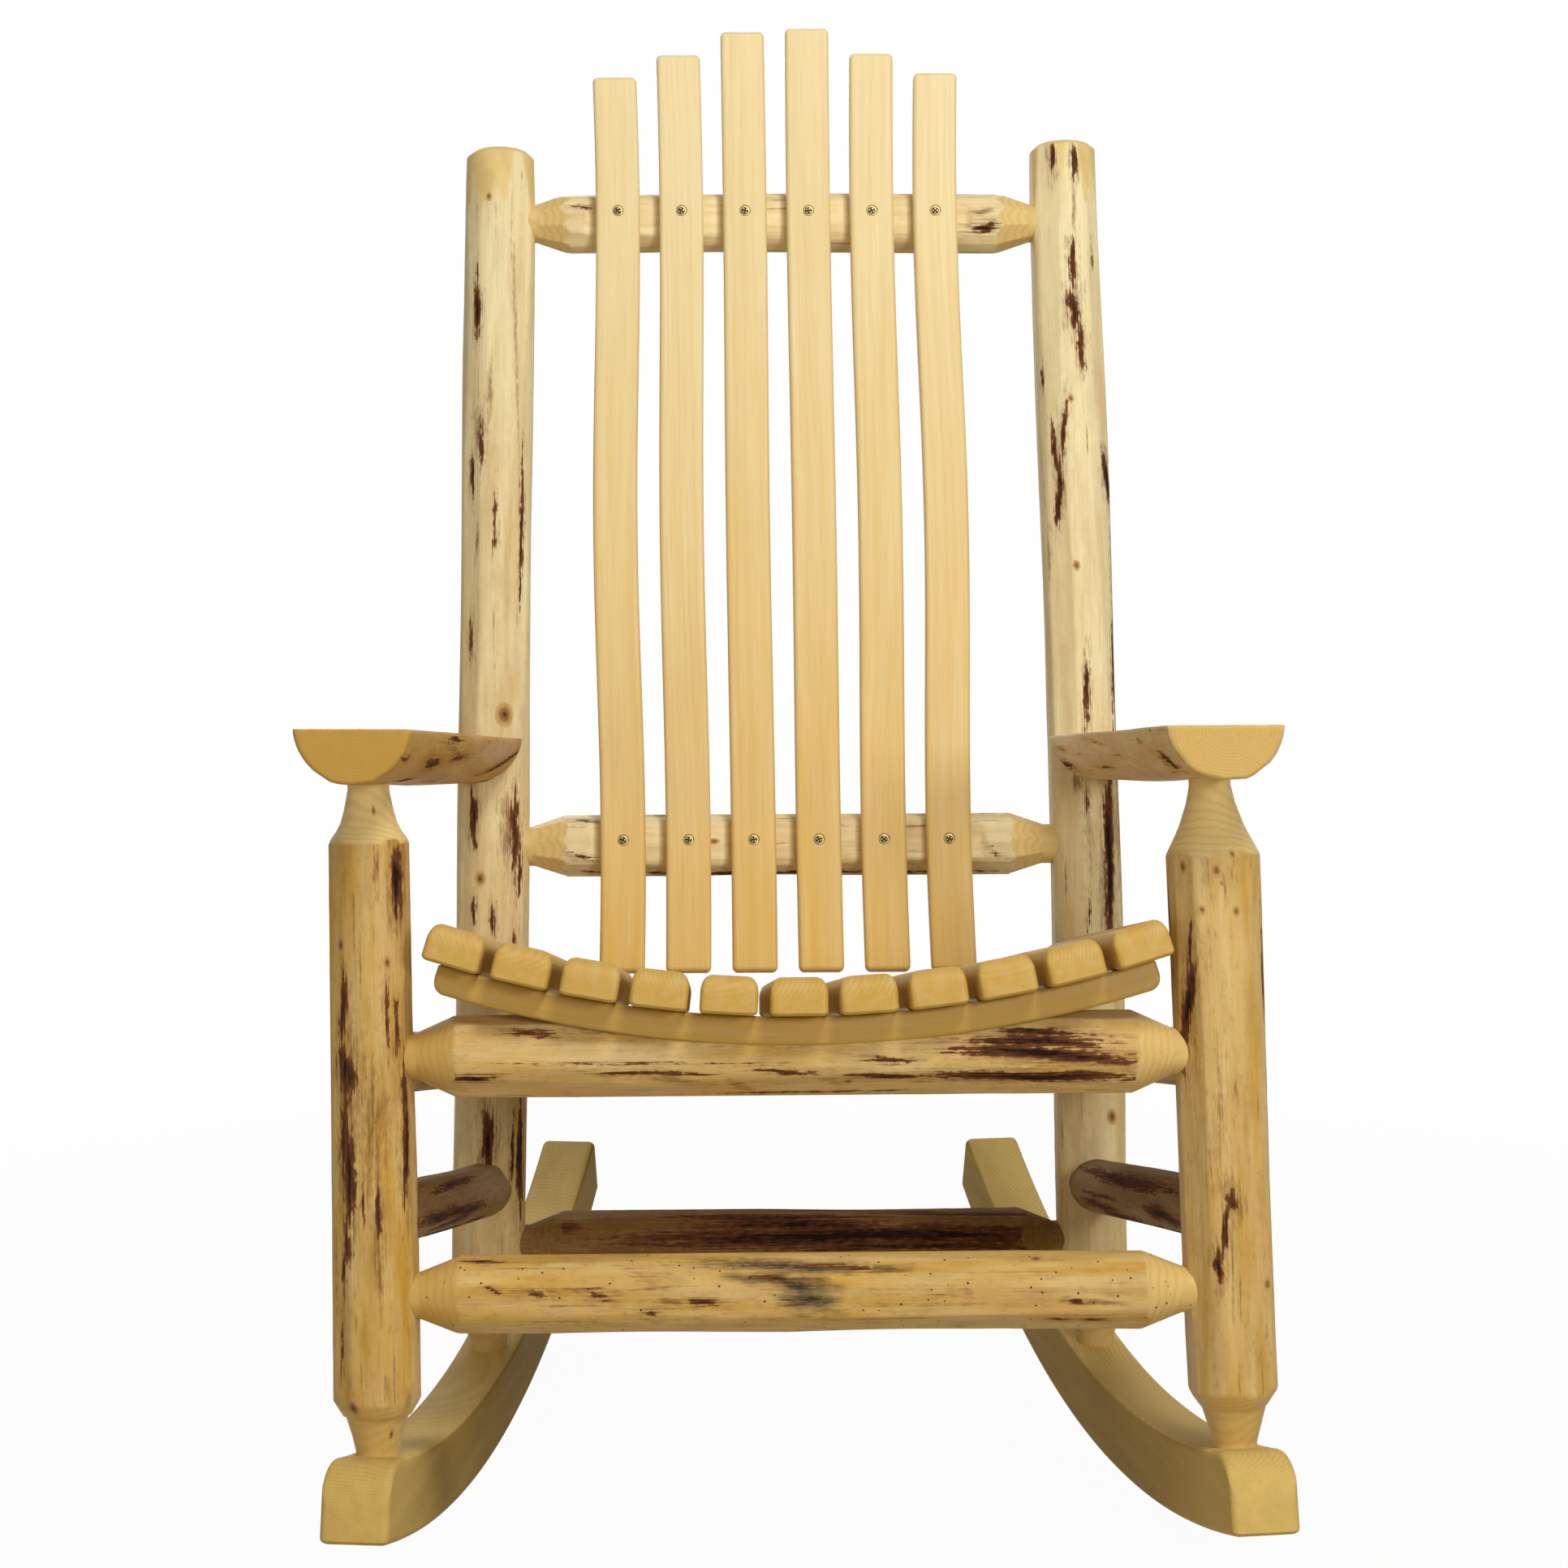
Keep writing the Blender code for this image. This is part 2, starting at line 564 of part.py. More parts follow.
def arched_outline(upper_radius, lower_radius):
    """An outline across the seat, about the seat rail's axis, between two radii of the seat's arc."""
    half_span = flat_radius * sin(edge_turn + slat_turn / 2) - BEARER_END_INSET
    turns = [(i - SEAT_SLAT_COUNT / 2) * slat_turn for i in range(SEAT_SLAT_COUNT + 1)]
    end_turn = asin(half_span / flat_radius)
    turns = [-end_turn] + turns[1:-1] + [end_turn]
    centre = arc_top + SEAT_ARC_RADIUS
    over = [(upper_radius * sin(turn), centre - upper_radius * cos(turn)) for turn in turns]
    under = [(lower_radius * sin(turn), centre - lower_radius * cos(turn)) for turn in turns]
    return under + over[::-1]


def seat_frame(origin):
    """Local x across the seat, y along the slats, z up from the seat."""
    turn = Matrix((Vector((1.0, 0.0, 0.0)), seat_run, seat_up)).transposed()
    return Matrix.Translation(origin) @ turn.to_4x4()


bearers = {}
bearer_frames = {}
for end, origin, carrier in (("front", seat_front, seat_rail_front), ("back", seat_back, seat_rail_back)):
    outline = arched_outline(flat_radius, under_radius)
    end_corners = (0, SEAT_SLAT_COUNT, SEAT_SLAT_COUNT + 1, len(outline) - 1)
    bearer_frames[end] = seat_frame(origin - seat_run * BEARER_FORWARD)
    bearers[end] = board(f"seat_bearer_{end}", outline, BEARER_THICKNESS, bearer_frames[end], PLANED_SLAT,
                         corners=[(corner, BEARER_END_ROUND) for corner in end_corners])
    hollow = arched_outline(flat_radius - SEAT_RAIL_DIAMETER, under_radius + FIT_GAP)
    saddle = board(f"seat_rail_saddle_{end}", hollow, 2 * SEAT_RAIL_DIAMETER, bearer_frames[end], None)
    combine(carrier, saddle, "DIFFERENCE")

# Back slats
# Bent boards on the flattened fronts of the two back rails; the back's frame has z up along the posts.
back_foot = (back_axes["left"][0] + back_axes["right"][0]) / 2
back_up = Vector((0.0, sin(BACK_POST_RECLINE), cos(BACK_POST_RECLINE)))
back_away = Vector((0.0, cos(BACK_POST_RECLINE), -sin(BACK_POST_RECLINE)))
back_turn = Matrix((Vector((1.0, 0.0, 0.0)), back_away, back_up)).transposed()
back_frame = Matrix.Translation(back_foot) @ back_turn.to_4x4()
slat_depth = BACK_RAIL_FLAT + FIT_GAP + BACK_SLAT_THICKNESS / 2
lower_reach = (LOWER_BACK_RAIL_HEIGHT - back_foot.z) / cos(BACK_POST_RECLINE)
upper_reach = (upper_back_rail_height - back_foot.z) / cos(BACK_POST_RECLINE)
middle_reach = (lower_reach + upper_reach) / 2
half_reach = (upper_reach - lower_reach) / 2


def slat_set_back(reach):
    """Where the middle of a slat's thickness lies, behind the plane of the posts, at a reach up the back."""
    return (half_reach ** 2 - (reach - middle_reach) ** 2) / (2 * BACK_SLAT_CURVE) - slat_depth


def slat_reach(height):
    """The reach up the back of a slat's end at a height over the floor."""
    return (height - back_foot.z - slat_depth * sin(BACK_POST_RECLINE)) / cos(BACK_POST_RECLINE)


def slat_middle(index, reach):
    """The middle of a slat across the chair: the slats bow out between and beyond the rails."""
    share = (reach - lower_reach) / (upper_reach - lower_reach)
    shift = BACK_SLAT_SHIFT_LOWER * (1 - share) + BACK_SLAT_SHIFT_UPPER * share
    bow = BACK_SLAT_SIDE_BOW * sin(pi * share) ** 2
    return shift + (index - (BACK_SLAT_COUNT - 1) / 2) * (BACK_SLAT_PITCH + bow)


def slat_bend(index, middle):
    """Bends one straight slat whose own middle is at a reach up the back."""
    def bend(point):
        reach = middle + point.z
        return Vector((slat_middle(index, reach) + point.x, slat_set_back(reach) + point.y, reach))
    return bend


back_slats = []
bottom_reach = slat_reach(BACK_SLAT_BOTTOM)
for index in range(BACK_SLAT_COUNT):
    steps_down = abs(index - (BACK_SLAT_COUNT - 1) / 2) - 0.5
    top_reach = slat_reach(BACK_POST_TOP + BACK_SLAT_RISE - steps_down * BACK_SLAT_STEP)
    size = (BACK_SLAT_WIDTH, BACK_SLAT_THICKNESS, top_reach - bottom_reach)
    bend = slat_bend(index, (top_reach + bottom_reach) / 2)
    back_slats.append(bar(f"back_slat_{index + 1}", size, BACK_SLAT_ROUND, back_frame, PLANED_SLAT,
                          cuts=BACK_SLAT_CUTS, bend=bend))

rail_flats = {}
for level, reach in (("lower", lower_reach), ("upper", upper_reach)):
    lean = Matrix.Rotation(atan((reach - middle_reach) / BACK_SLAT_CURVE), 4, "X")
    span = 2 * BACK_RAIL_DIAMETER
    width = (BACK_SLAT_COUNT - 1) * BACK_SLAT_PITCH + BACK_SLAT_WIDTH + 2 * BACK_FLAT_MARGIN
    middle = (slat_middle(0, reach) + slat_middle(BACK_SLAT_COUNT - 1, reach)) / 2
    face = back_frame @ Matrix.Translation((middle, -BACK_RAIL_FLAT, reach)) @ lean
    planed_off = bar(f"back_rail_flat_{level}", (width, span, span), 0.0,
                     face @ Matrix.Translation((0.0, -span / 2, 0.0)), None)
    combine(back_rails[level], planed_off, "DIFFERENCE")
    rail_flats[level] = face


# Screws
# Countersunk wood screws; each points along the z of the frame it is placed in, from the face it enters.
def screw(name, frame, length, through, into):
    """A screw and the countersunk hole it needs in the piece it holds and in the piece it enters."""
    head = SCREW_HEAD_DIAMETER / 2
    shank = SCREW_SHANK_DIAMETER / 2
    shoulder = SCREW_SINK + head - shank
    tip = SCREW_SINK + length
    profile = [(0.0, tip), (shank, tip - SCREW_SHANK_DIAMETER), (shank, shoulder), (head, SCREW_SINK),
               (0.0, SCREW_SINK)]
    turned(name, profile, frame, SCREW_SIDES, SCREW_STEEL)
    pilot = shank + FIT_GAP
    mouth = COUNTERSINK_DIAMETER / 2
    hole_profile = [(0.0, tip + FIT_GAP), (pilot, tip + FIT_GAP), (pilot, shoulder + FIT_GAP), (mouth, 0.0),
                    (mouth, -COUNTERSINK_DIAMETER), (0.0, -COUNTERSINK_DIAMETER)]
    hole = turned(f"{name}_hole", hole_profile, frame, SCREW_SIDES, None)
    combine(through, hole, "DIFFERENCE")
    combine(into, hole, "DIFFERENCE")


for level, reach in (("lower", lower_reach), ("upper", upper_reach)):
    inward = rail_flats[level].to_3x3() @ Vector((0.0, 1.0, 0.0))
    for index, slat in enumerate(back_slats):
        middle = back_frame @ Vector((slat_middle(index, reach), slat_set_back(reach), reach))
        entry = middle - inward * (BACK_SLAT_THICKNESS / 2)
        screw(f"back_screw_{level}_{index + 1}", frame_along(entry, inward), SCREW_LENGTH, slat,
              back_rails[level])

for end, carrier in (("front", seat_rail_front), ("back", seat_rail_back)):
    for side, hand in ((-1, "left"), (1, "right")):
        turn = side * BEARER_SCREW_SLAT * slat_turn
        entry = Vector((SEAT_ARC_RADIUS * sin(turn), 0.0, arc_top + SEAT_ARC_RADIUS * (1 - cos(turn))))
        downward = bearer_frames[end].to_3x3() @ Vector((sin(turn), 0.0, -cos(turn)))
        screw(f"bearer_screw_{end}_{hand}", frame_along(bearer_frames[end] @ entry, downward),
              BEARER_SCREW_LENGTH, bearers[end], carrier)

# Seat slats
# They overhang the front bearer and stop short of the back slats and the back posts.
slat_front_face = BACK_SLAT_THICKNESS / 2 - slat_set_back(bottom_reach)
back_limit = max(slat_front_face, BACK_POST_BUTT_DIAMETER / 2) + SEAT_BACK_GAP
behind = (seat_front + seat_up * arc_top - back_foot).dot(back_away)
seat_end = (-back_limit - behind) / cos(BACK_POST_RECLINE - SEAT_TILT)
slat_length = SEAT_OVERHANG + seat_end
for index in range(SEAT_SLAT_COUNT):
    turn = (index - (SEAT_SLAT_COUNT - 1) / 2) * slat_turn
    middle_radius = SEAT_ARC_RADIUS - FIT_GAP - SEAT_SLAT_THICKNESS / 2
    middle = Vector((middle_radius * sin(turn), seat_end - slat_length / 2,
                     arc_top + SEAT_ARC_RADIUS - middle_radius * cos(turn)))
    frame = seat_frame(seat_front) @ Matrix.Translation(middle) @ Matrix.Rotation(-turn, 4, "Y") \
        @ Matrix.Rotation(-pi / 2, 4, "X")
    bar(f"seat_slat_{index + 1}", (SEAT_SLAT_WIDTH, SEAT_SLAT_THICKNESS, slat_length), SEAT_SLAT_ROUND, frame,
        PLANED_SLAT)

# The origin: the middle of the chair's box on the floor
bpy.context.view_layer.update()
seen = bpy.context.evaluated_depsgraph_get()
corners = []
for piece in chair_parts.objects:
    if piece.type == "MESH":
        solid = piece.evaluated_get(seen).to_mesh()
        corners += [piece.matrix_world @ point.co for point in solid.vertices]
for axis in (0, 1):
    reach = [corner[axis] for corner in corners]
    chair.location[axis] = -(min(reach) + max(reach)) / 2
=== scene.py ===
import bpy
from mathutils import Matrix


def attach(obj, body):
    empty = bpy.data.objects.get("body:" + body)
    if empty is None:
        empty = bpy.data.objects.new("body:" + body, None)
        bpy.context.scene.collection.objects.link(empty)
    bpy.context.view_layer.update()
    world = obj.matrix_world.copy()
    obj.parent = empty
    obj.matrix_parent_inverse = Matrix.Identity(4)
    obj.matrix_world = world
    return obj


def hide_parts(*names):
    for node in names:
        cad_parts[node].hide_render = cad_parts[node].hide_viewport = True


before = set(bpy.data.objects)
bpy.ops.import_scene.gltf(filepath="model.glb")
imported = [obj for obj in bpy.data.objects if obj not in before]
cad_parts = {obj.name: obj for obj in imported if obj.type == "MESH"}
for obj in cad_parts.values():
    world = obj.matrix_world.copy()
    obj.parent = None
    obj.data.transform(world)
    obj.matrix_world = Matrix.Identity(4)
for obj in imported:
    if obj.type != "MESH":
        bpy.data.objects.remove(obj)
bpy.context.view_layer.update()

from math import cos, pi, radians, sin

import bmesh
import bpy
import numpy as np
from mathutils import Matrix, Vector


# Rockers: two runners sawn to an arc from thick pine board and toed in towards the tail.
# The nose is rounded over, the long edges are eased with a router, and the posts stand in
# holes bored in the top.
def hue(code):
    """The linear colour of an sRGB hex value."""
    parts = [int(code[i:i + 2], 16) / 255 for i in (0, 2, 4)]
    return [p / 12.92 if p <= .04045 else ((p + .055) / 1.055) ** 2.4 for p in parts] + [1]


def blank(finish):
    """The node tree of a new material or world, emptied."""
    finish.use_nodes = True
    finish.node_tree.nodes.clear()
    return finish.node_tree


def add(tree, kind, inputs, **settings):
    """Adds a shader node with its settings, and sets or links its inputs."""
    made = tree.nodes.new("ShaderNode" + kind)
    for name, value in settings.items():
        setattr(made, name, value)
    for name, value in inputs.items():
        if isinstance(value, bpy.types.NodeSocket):
            tree.links.new(value, made.inputs[name])
        else:
            made.inputs[name].default_value = value
    return made


def patches(tree, place, wide_mm, long_mm, detail, roughness, low, high, most, least=0, shift=(0, 0, 0)):
    """Soft patches along the grain, so wide and so long: noise from low to high gives least to most."""
    scale = (1000 / wide_mm, 1000 / wide_mm, 1000 / long_mm)
    grain = add(tree, "Mapping", {"Vector": place, "Location": shift, "Scale": scale}).outputs[0]
    noise = add(tree, "TexNoise", {"Vector": grain, "Scale": 1, "Detail": detail,
                                   "Roughness": roughness}).outputs[0]
    return add(tree, "MapRange", {"Value": noise, "From Min": low, "From Max": high, "To Min": least,
                                  "To Max": most}).outputs[0]


def pine(name, pale, gold, ring, ring_mm, ring_share, waver, wide_mm, long_mm, mottle, fibre_share,
         roughness, bump_mm, shine):
    """Pine under a clear satin finish: growth rings, long soft tones and fine fibre, all along the grain.
    It reads each point's place, in metres, with the grain along z and the pith on the z axis, and its tone
    there: pale at 0, golden at 1, and brown with stronger rings at 2. Some pieces set that tone paler or
    deeper as painted light and painted shade."""
    material = bpy.data.materials.new(name)
    tree = blank(material)
    place = add(tree, "Attribute", {}, attribute_name="place").outputs["Vector"]
    tone_light_and_shade = add(tree, "Attribute", {}, attribute_name="tone_light_and_shade").outputs["Fac"]
    # Soft tones, from the paler sapwood to the golden
    tone = patches(tree, place, wide_mm, long_mm, detail=3, roughness=.5, low=.3, high=.7, least=-mottle,
                   most=mottle)
    golden = add(tree, "Math", {0: tone_light_and_shade, 1: .92}, operation="MINIMUM").outputs[0]
    tone = add(tree, "Math", {0: tone, 1: golden}, operation="ADD", use_clamp=True).outputs[0]
    colour = add(tree, "Mix", {0: tone, 6: hue(pale), 7: hue(gold)}, data_type="RGBA").outputs[2]
    # The ring wave repeats every pi / 10 of its scaled place, and shows more on brown wood
    rings = add(tree, "TexWave", {"Vector": place, "Scale": pi / 10 / (ring_mm / 1000), "Distortion": waver,
                                  "Detail": 2, "Detail Scale": .35},
                wave_type="RINGS", rings_direction="Z").outputs[1]
    late = add(tree, "MapRange", {"Value": rings, "From Min": .3, "From Max": 1, "To Max": ring_share},
               interpolation_type="SMOOTHSTEP").outputs[0]
    old = add(tree, "MapRange", {"Value": tone_light_and_shade, "From Min": .95, "From Max": 1.35, "To Min": 1,
                                 "To Max": 3.2}).outputs[0]
    late = add(tree, "Math", {0: late, 1: old}, operation="MULTIPLY").outputs[0]
    colour = add(tree, "Mix", {0: late, 6: colour, 7: hue(ring)}, data_type="RGBA").outputs[2]
    # Fibre lines about 1.2 mm wide and 60 mm long darken the wood a little, and a tone past golden darkens it
    # more, for age and for painted shade
    thread = add(tree, "Mapping", {"Vector": place, "Scale": (1 / .0012, 1 / .0012, 1 / .06)}).outputs[0]
    fibre = add(tree, "TexNoise", {"Vector": thread, "Scale": 1, "Detail": 2}).outputs[0]
    worn = add(tree, "MapRange", {"Value": fibre, "From Min": .3, "From Max": .7, "To Min": 1 - fibre_share,
                                  "To Max": 1 + fibre_share / 3}).outputs[0]
    age_and_shade_darkening = add(tree, "MapRange", {"Value": tone_light_and_shade, "From Min": 1, "From Max": 2, "To Min": 1,
                                  "To Max": .5}).outputs[0]
    worn = add(tree, "Math", {0: worn, 1: age_and_shade_darkening}, operation="MULTIPLY").outputs[0]
    colour = add(tree, "VectorMath", {0: colour, "Scale": worn}, operation="SCALE").outputs[0]
    bump = add(tree, "Bump", {"Height": fibre, "Distance": bump_mm / 1000, "Strength": .7}).outputs[0]
    finish = add(tree, "BsdfPrincipled", {"Base Color": colour, "Roughness": roughness, "Normal": bump,
                                          "Specular IOR Level": shine})
    add(tree, "OutputMaterial", {"Surface": finish.outputs[0]})
    return material, tree, place, tone_light_and_shade, colour, rings, finish


def stand(at, way, face):
    """The matrix of a piece whose z goes along way and whose x looks towards face."""
    z = Vector(way).normalized()
    x = (Vector(face) - z * z.dot(Vector(face))).normalized()
    return Matrix.Translation(at) @ Matrix((x, z.cross(x), z)).transposed().to_4x4()


def board(width, depth, length, long_ease, end_ease, cuts, rips=()):
    """A board along z with eased edges, cut across and ripped along where it is to bend."""
    bm = bmesh.new()
    bmesh.ops.create_cube(bm, size=1)
    bmesh.ops.scale(bm, vec=(width, depth, length), verts=bm.verts)
    for ease, lengthwise in ((long_ease, True), (end_ease, False)):
        edges = [e for e in bm.edges if e.calc_face_angle(0) > .5
                 and (abs((e.verts[0].co - e.verts[1].co).normalized().z) > .9) == lengthwise]
        bmesh.ops.bevel(bm, geom=edges, offset=ease, segments=5, profile=.5, affect="EDGES", material=-1)
    for spots, across in ((cuts, Vector((0, 0, 1))), (rips, Vector((1, 0, 0)))):
        for spot in spots:
            bmesh.ops.bisect_plane(bm, geom=bm.verts[:] + bm.edges[:] + bm.faces[:],
                                   plane_co=across * spot, plane_no=across)
    return bm


def as_mesh(bm, node):
    """The mesh of a built shape, and its points' x, y and z."""
    mesh = bpy.data.meshes.new(node)
    bm.to_mesh(mesh)
    bm.free()
    rows = np.empty(len(mesh.vertices) * 3)
    mesh.vertices.foreach_get("co", rows)
    return mesh, *rows.reshape(-1, 3).T


def move(mesh, *rows):
    """Moves the mesh's points to new x, y and z."""
    mesh.vertices.foreach_set("co", np.stack(rows, 1).ravel())


def note(mesh, name, *rows):
    """Keeps three numbers for each point, for the finish to read."""
    kept = mesh.attributes.new(name, "FLOAT_VECTOR", "POINT")
    kept.data.foreach_set("vector", np.stack(rows, 1).ravel().astype(np.float32))


def round_over(size, edge):
    """How far a corner that is rounded to a radius has fallen at a distance from its edge."""
    return size - np.sqrt(size ** 2 - np.clip(size - edge, 0, size) ** 2)


def set_up(mesh, node, spot, material, tone_light_and_shade=0, even=False):
    """Puts a finished mesh in the chair in place of its solid. Its tone goes from pale, 0, to golden, 1,
    to brown, 2, and on some pieces it holds painted light and painted shade; a piece with flats is shaded
    evenly."""
    mesh.transform(spot)
    kept = mesh.attributes.new("tone_light_and_shade", "FLOAT", "POINT")
    kept.data.foreach_set("value", np.full(len(mesh.vertices), tone_light_and_shade, np.float32))
    mesh.shade_smooth()
    mesh.materials.append(material)
    piece = bpy.data.objects.new("chair_" + node, mesh)
    bpy.context.scene.collection.objects.link(piece)
    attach(piece, "root")
    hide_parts(node)
    if even:
        piece.modifiers.new("even_shading", "WEIGHTED_NORMAL")


ROCKER_RADIUS, ROCKER_DEPTH, ROCKER_WIDTH = 1.529338, .059, .050
ROCKER_EASE, NOSE_ROUND, TAIL_ROUND = .006, .034, .012
NOSE, TAIL = -.2808, .354433          # angles of the two ends on the arc
# How far back the rocker's nose is painted paler as if lit, and where the painted shade on the flanks is full
NOSE_LIGHT_END, FLANK_SHADE_FULL = .06, .2       # how far back the nose's tone ends, and the flank's is full
ROCKER_LENGTH = (TAIL - NOSE) * ROCKER_RADIUS

# Sawn pine: fine growth rings on the end grain, greenish gold, painted deeper on the rockers' flanks as
# painted shade, with little gloss
sawn_pine = pine("sawn_pine", pale="E8C676", gold="9A7A22", ring="9C783A", ring_mm=1.8, ring_share=.14,
                 waver=1, wide_mm=12, long_mm=160, mottle=.08, fibre_share=.05, roughness=.6, bump_mm=.08,
                 shine=.05)[0]

for side, foot, way, pith, lit_nose, shaded_flank, top in (
        ("left", (-.26284, -.05165, 0), (.1262, .992, 0), (.02, .21), .42, .95, .2),
        ("right", (.27667, -.05165, 0), (-.1262, .992, 0), (-.09, .12), .27, .6, 0)):
    # Close cuts at the two round ends, and wide ones between
    cuts = [*np.arange(.0008, .036, .0012), *np.arange(.04, ROCKER_LENGTH - .016, .012),
            *(ROCKER_LENGTH - np.arange(.013, .001, -.0015))]
    bm = board(ROCKER_WIDTH, ROCKER_DEPTH, ROCKER_LENGTH, ROCKER_EASE, ROCKER_EASE,
               [cut - ROCKER_LENGTH / 2 for cut in cuts])
    mesh, across, up, along = as_mesh(bm, "rocker_" + side)
    along += ROCKER_LENGTH / 2
    # Painted light and shade: the nose, top and bottom are painted paler, as if lit, and the flanks deeper,
    # as painted shade, from just behind the nose
    on_flank = np.abs(across) > ROCKER_WIDTH / 2 - .002
    tone_light_and_shade = np.where(on_flank, np.interp(along, (NOSE_LIGHT_END, FLANK_SHADE_FULL), (lit_nose, shaded_flank)),
                    np.where(along < NOSE_LIGHT_END, lit_nose, top))
    for size, edge in ((NOSE_ROUND, along), (TAIL_ROUND, ROCKER_LENGTH - along)):
        up = (up + ROCKER_DEPTH / 2) * (1 - round_over(size, edge) / ROCKER_DEPTH) - ROCKER_DEPTH / 2
    up += ROCKER_DEPTH / 2
    turn, radius = NOSE + along / ROCKER_RADIUS, ROCKER_RADIUS - up
    run, height = radius * np.sin(turn), ROCKER_RADIUS - radius * np.cos(turn)
    note(mesh, "place", across + pith[0], height + pith[1], run + pith[1] * 40)
    # Laid this way round the board is mirrored, so its faces are turned out again
    move(mesh, run, -across, height)
    mesh.flip_normals()
    set_up(mesh, "rocker_" + side, stand(foot, (0, 0, 1), way), sawn_pine, tone_light_and_shade, even=True)


# Front posts: peeled pine logs with the drawknife's flats left on them and streaks of dark bark in
# the hollows. Each end is cut to a pencil point and a round tenon, one glued into the rocker and one
# into the arm.

# Peeled pine: cream to gold, ragged red-brown to black bark, knots, blue-black stain and pin-holes of
# beetles, under a satin finish
peeled_pine, tree, place, tone_light_and_shade, wood, rings, finish = pine(
    "peeled_pine", pale="F5E3B0", gold="CA9C40", ring="A5783A", ring_mm=2.4, ring_share=.1, waver=4,
    wide_mm=13, long_mm=110, mottle=.2, fibre_share=.07, roughness=.5, bump_mm=.3, shine=.15)
marks = add(tree, "Attribute", {}, attribute_name="marks").outputs["Vector"]
bark, stain, rust = add(tree, "SeparateXYZ", {0: marks}).outputs
joint = add(tree, "Attribute", {}, attribute_name="joint").outputs["Vector"]
knot, cut, hole = add(tree, "SeparateXYZ", {0: joint}).outputs
# Rosy flats where the knife went deeper, and on the riper logs grey-brown weathering and the brown spots
# that the inner bark left
blush = patches(tree, place, wide_mm=20, long_mm=120, detail=4, roughness=.5, low=.52, high=.72, most=.4,
                shift=(.7, .3, .1))
grime = patches(tree, place, wide_mm=12, long_mm=50, detail=6, roughness=.6, low=.5, high=.75, most=.5,
                shift=(.2, .9, .4))
spots = patches(tree, place, wide_mm=5, long_mm=11, detail=6, roughness=.65, low=.54, high=.74, most=.6,
                shift=(.5, .1, .8))
worn = add(tree, "MapRange", {"Value": tone_light_and_shade, "To Min": .1}).outputs[0]
for layer, share, tint in ((blush, 1, "CFA06A"), (grime, worn, "94763C"), (spots, worn, "99693C")):
    layer = add(tree, "Math", {0: layer, 1: share}, operation="MULTIPLY").outputs[0]
    wood = add(tree, "Mix", {0: layer, 6: wood, 7: hue(tint)}, data_type="RGBA").outputs[2]
# The cut points are smoother and show the rings as contour lines
lines = add(tree, "MapRange", {"Value": rings, "From Min": .4, "From Max": 1, "To Max": .17}).outputs[0]
plain = add(tree, "Mix", {0: tone_light_and_shade, 6: hue("F2D58C"), 7: hue("BE9440")}, data_type="RGBA").outputs[2]
plain = add(tree, "Mix", {0: .85, 6: wood, 7: plain}, data_type="RGBA").outputs[2]
point = add(tree, "Mix", {0: lines, 6: plain, 7: hue("A87C3C")}, data_type="RGBA").outputs[2]
colour = add(tree, "Mix", {0: cut, 6: wood, 7: point}, data_type="RGBA").outputs[2]
# Marks have ragged edges, with long tears and short flecks, and stain spreads along the fibres in blots
torn = patches(tree, place, wide_mm=1.5, long_mm=50, detail=5, roughness=.62, low=.25, high=.75, least=-.32,
               most=.32)
fleck = patches(tree, place, wide_mm=3, long_mm=8, detail=5, roughness=.6, low=.3, high=.7, least=-.2,
                most=.2)
blot = patches(tree, place, wide_mm=5, long_mm=14, detail=6, roughness=.65, low=.3, high=.7, least=-.4,
               most=.4)
ragged = add(tree, "Math", {0: torn, 1: fleck}, operation="ADD").outputs[0]
blotted = add(tree, "Math", {0: torn, 1: blot}, operation="ADD").outputs[0]
edges = []
for mask, rough in ((rust, ragged), (stain, blotted), (bark, ragged)):
    hold = add(tree, "MapRange", {"Value": mask, "From Max": .2}).outputs[0]
    edges.append(add(tree, "Math", {0: rough, 1: hold, 2: mask}, operation="MULTIPLY_ADD").outputs[0])
rust_edge, stain_edge, bark_edge = edges
# Brown and blue-black stains, then knots with a tan rim, a brown face and a dark heart
for edge, low, high, most, tint in (
        (rust_edge, .3, .8, .8, "7B5330"), (stain_edge, .25, 1.5, .95, "1E2024"),
        (knot, .08, .3, .9, "C2985A"), (knot, .42, .6, .9, "8E6234"), (knot, .72, .86, .9, "482A15")):
    share = add(tree, "MapRange", {"Value": edge, "From Min": low, "From Max": high,
                                   "To Max": most}).outputs[0]
    colour = add(tree, "Mix", {0: share, 6: colour, 7: hue(tint)}, data_type="RGBA").outputs[2]
# Bark, red-brown where it is thin and nearly black where it is deep
skin = add(tree, "MapRange", {"Value": bark_edge, "From Min": .45, "From Max": .55}).outputs[0]
deep = add(tree, "MapRange", {"Value": bark_edge, "From Min": .55, "From Max": 1.05}).outputs[0]
flake = add(tree, "Mix", {0: deep, 6: hue("744729"), 7: hue("22100A")}, data_type="RGBA").outputs[2]
colour = add(tree, "Mix", {0: skin, 6: colour, 7: flake}, data_type="RGBA").outputs[2]
# Pin-holes of about 1.4 mm, one in each 9 mm, where the log was bored
cell = add(tree, "TexVoronoi", {"Vector": place, "Scale": 1 / .009})
dot = add(tree, "MapRange", {"Value": cell.outputs["Distance"], "From Min": .065, "From Max": .115,
                             "To Min": 1, "To Max": 0}).outputs[0]
dot = add(tree, "Math", {0: dot, 1: hole}, operation="MULTIPLY").outputs[0]
colour = add(tree, "Mix", {0: dot, 6: colour, 7: hue("2B170D")}, data_type="RGBA").outputs[2]
tree.links.new(colour, finish.inputs["Base Color"])
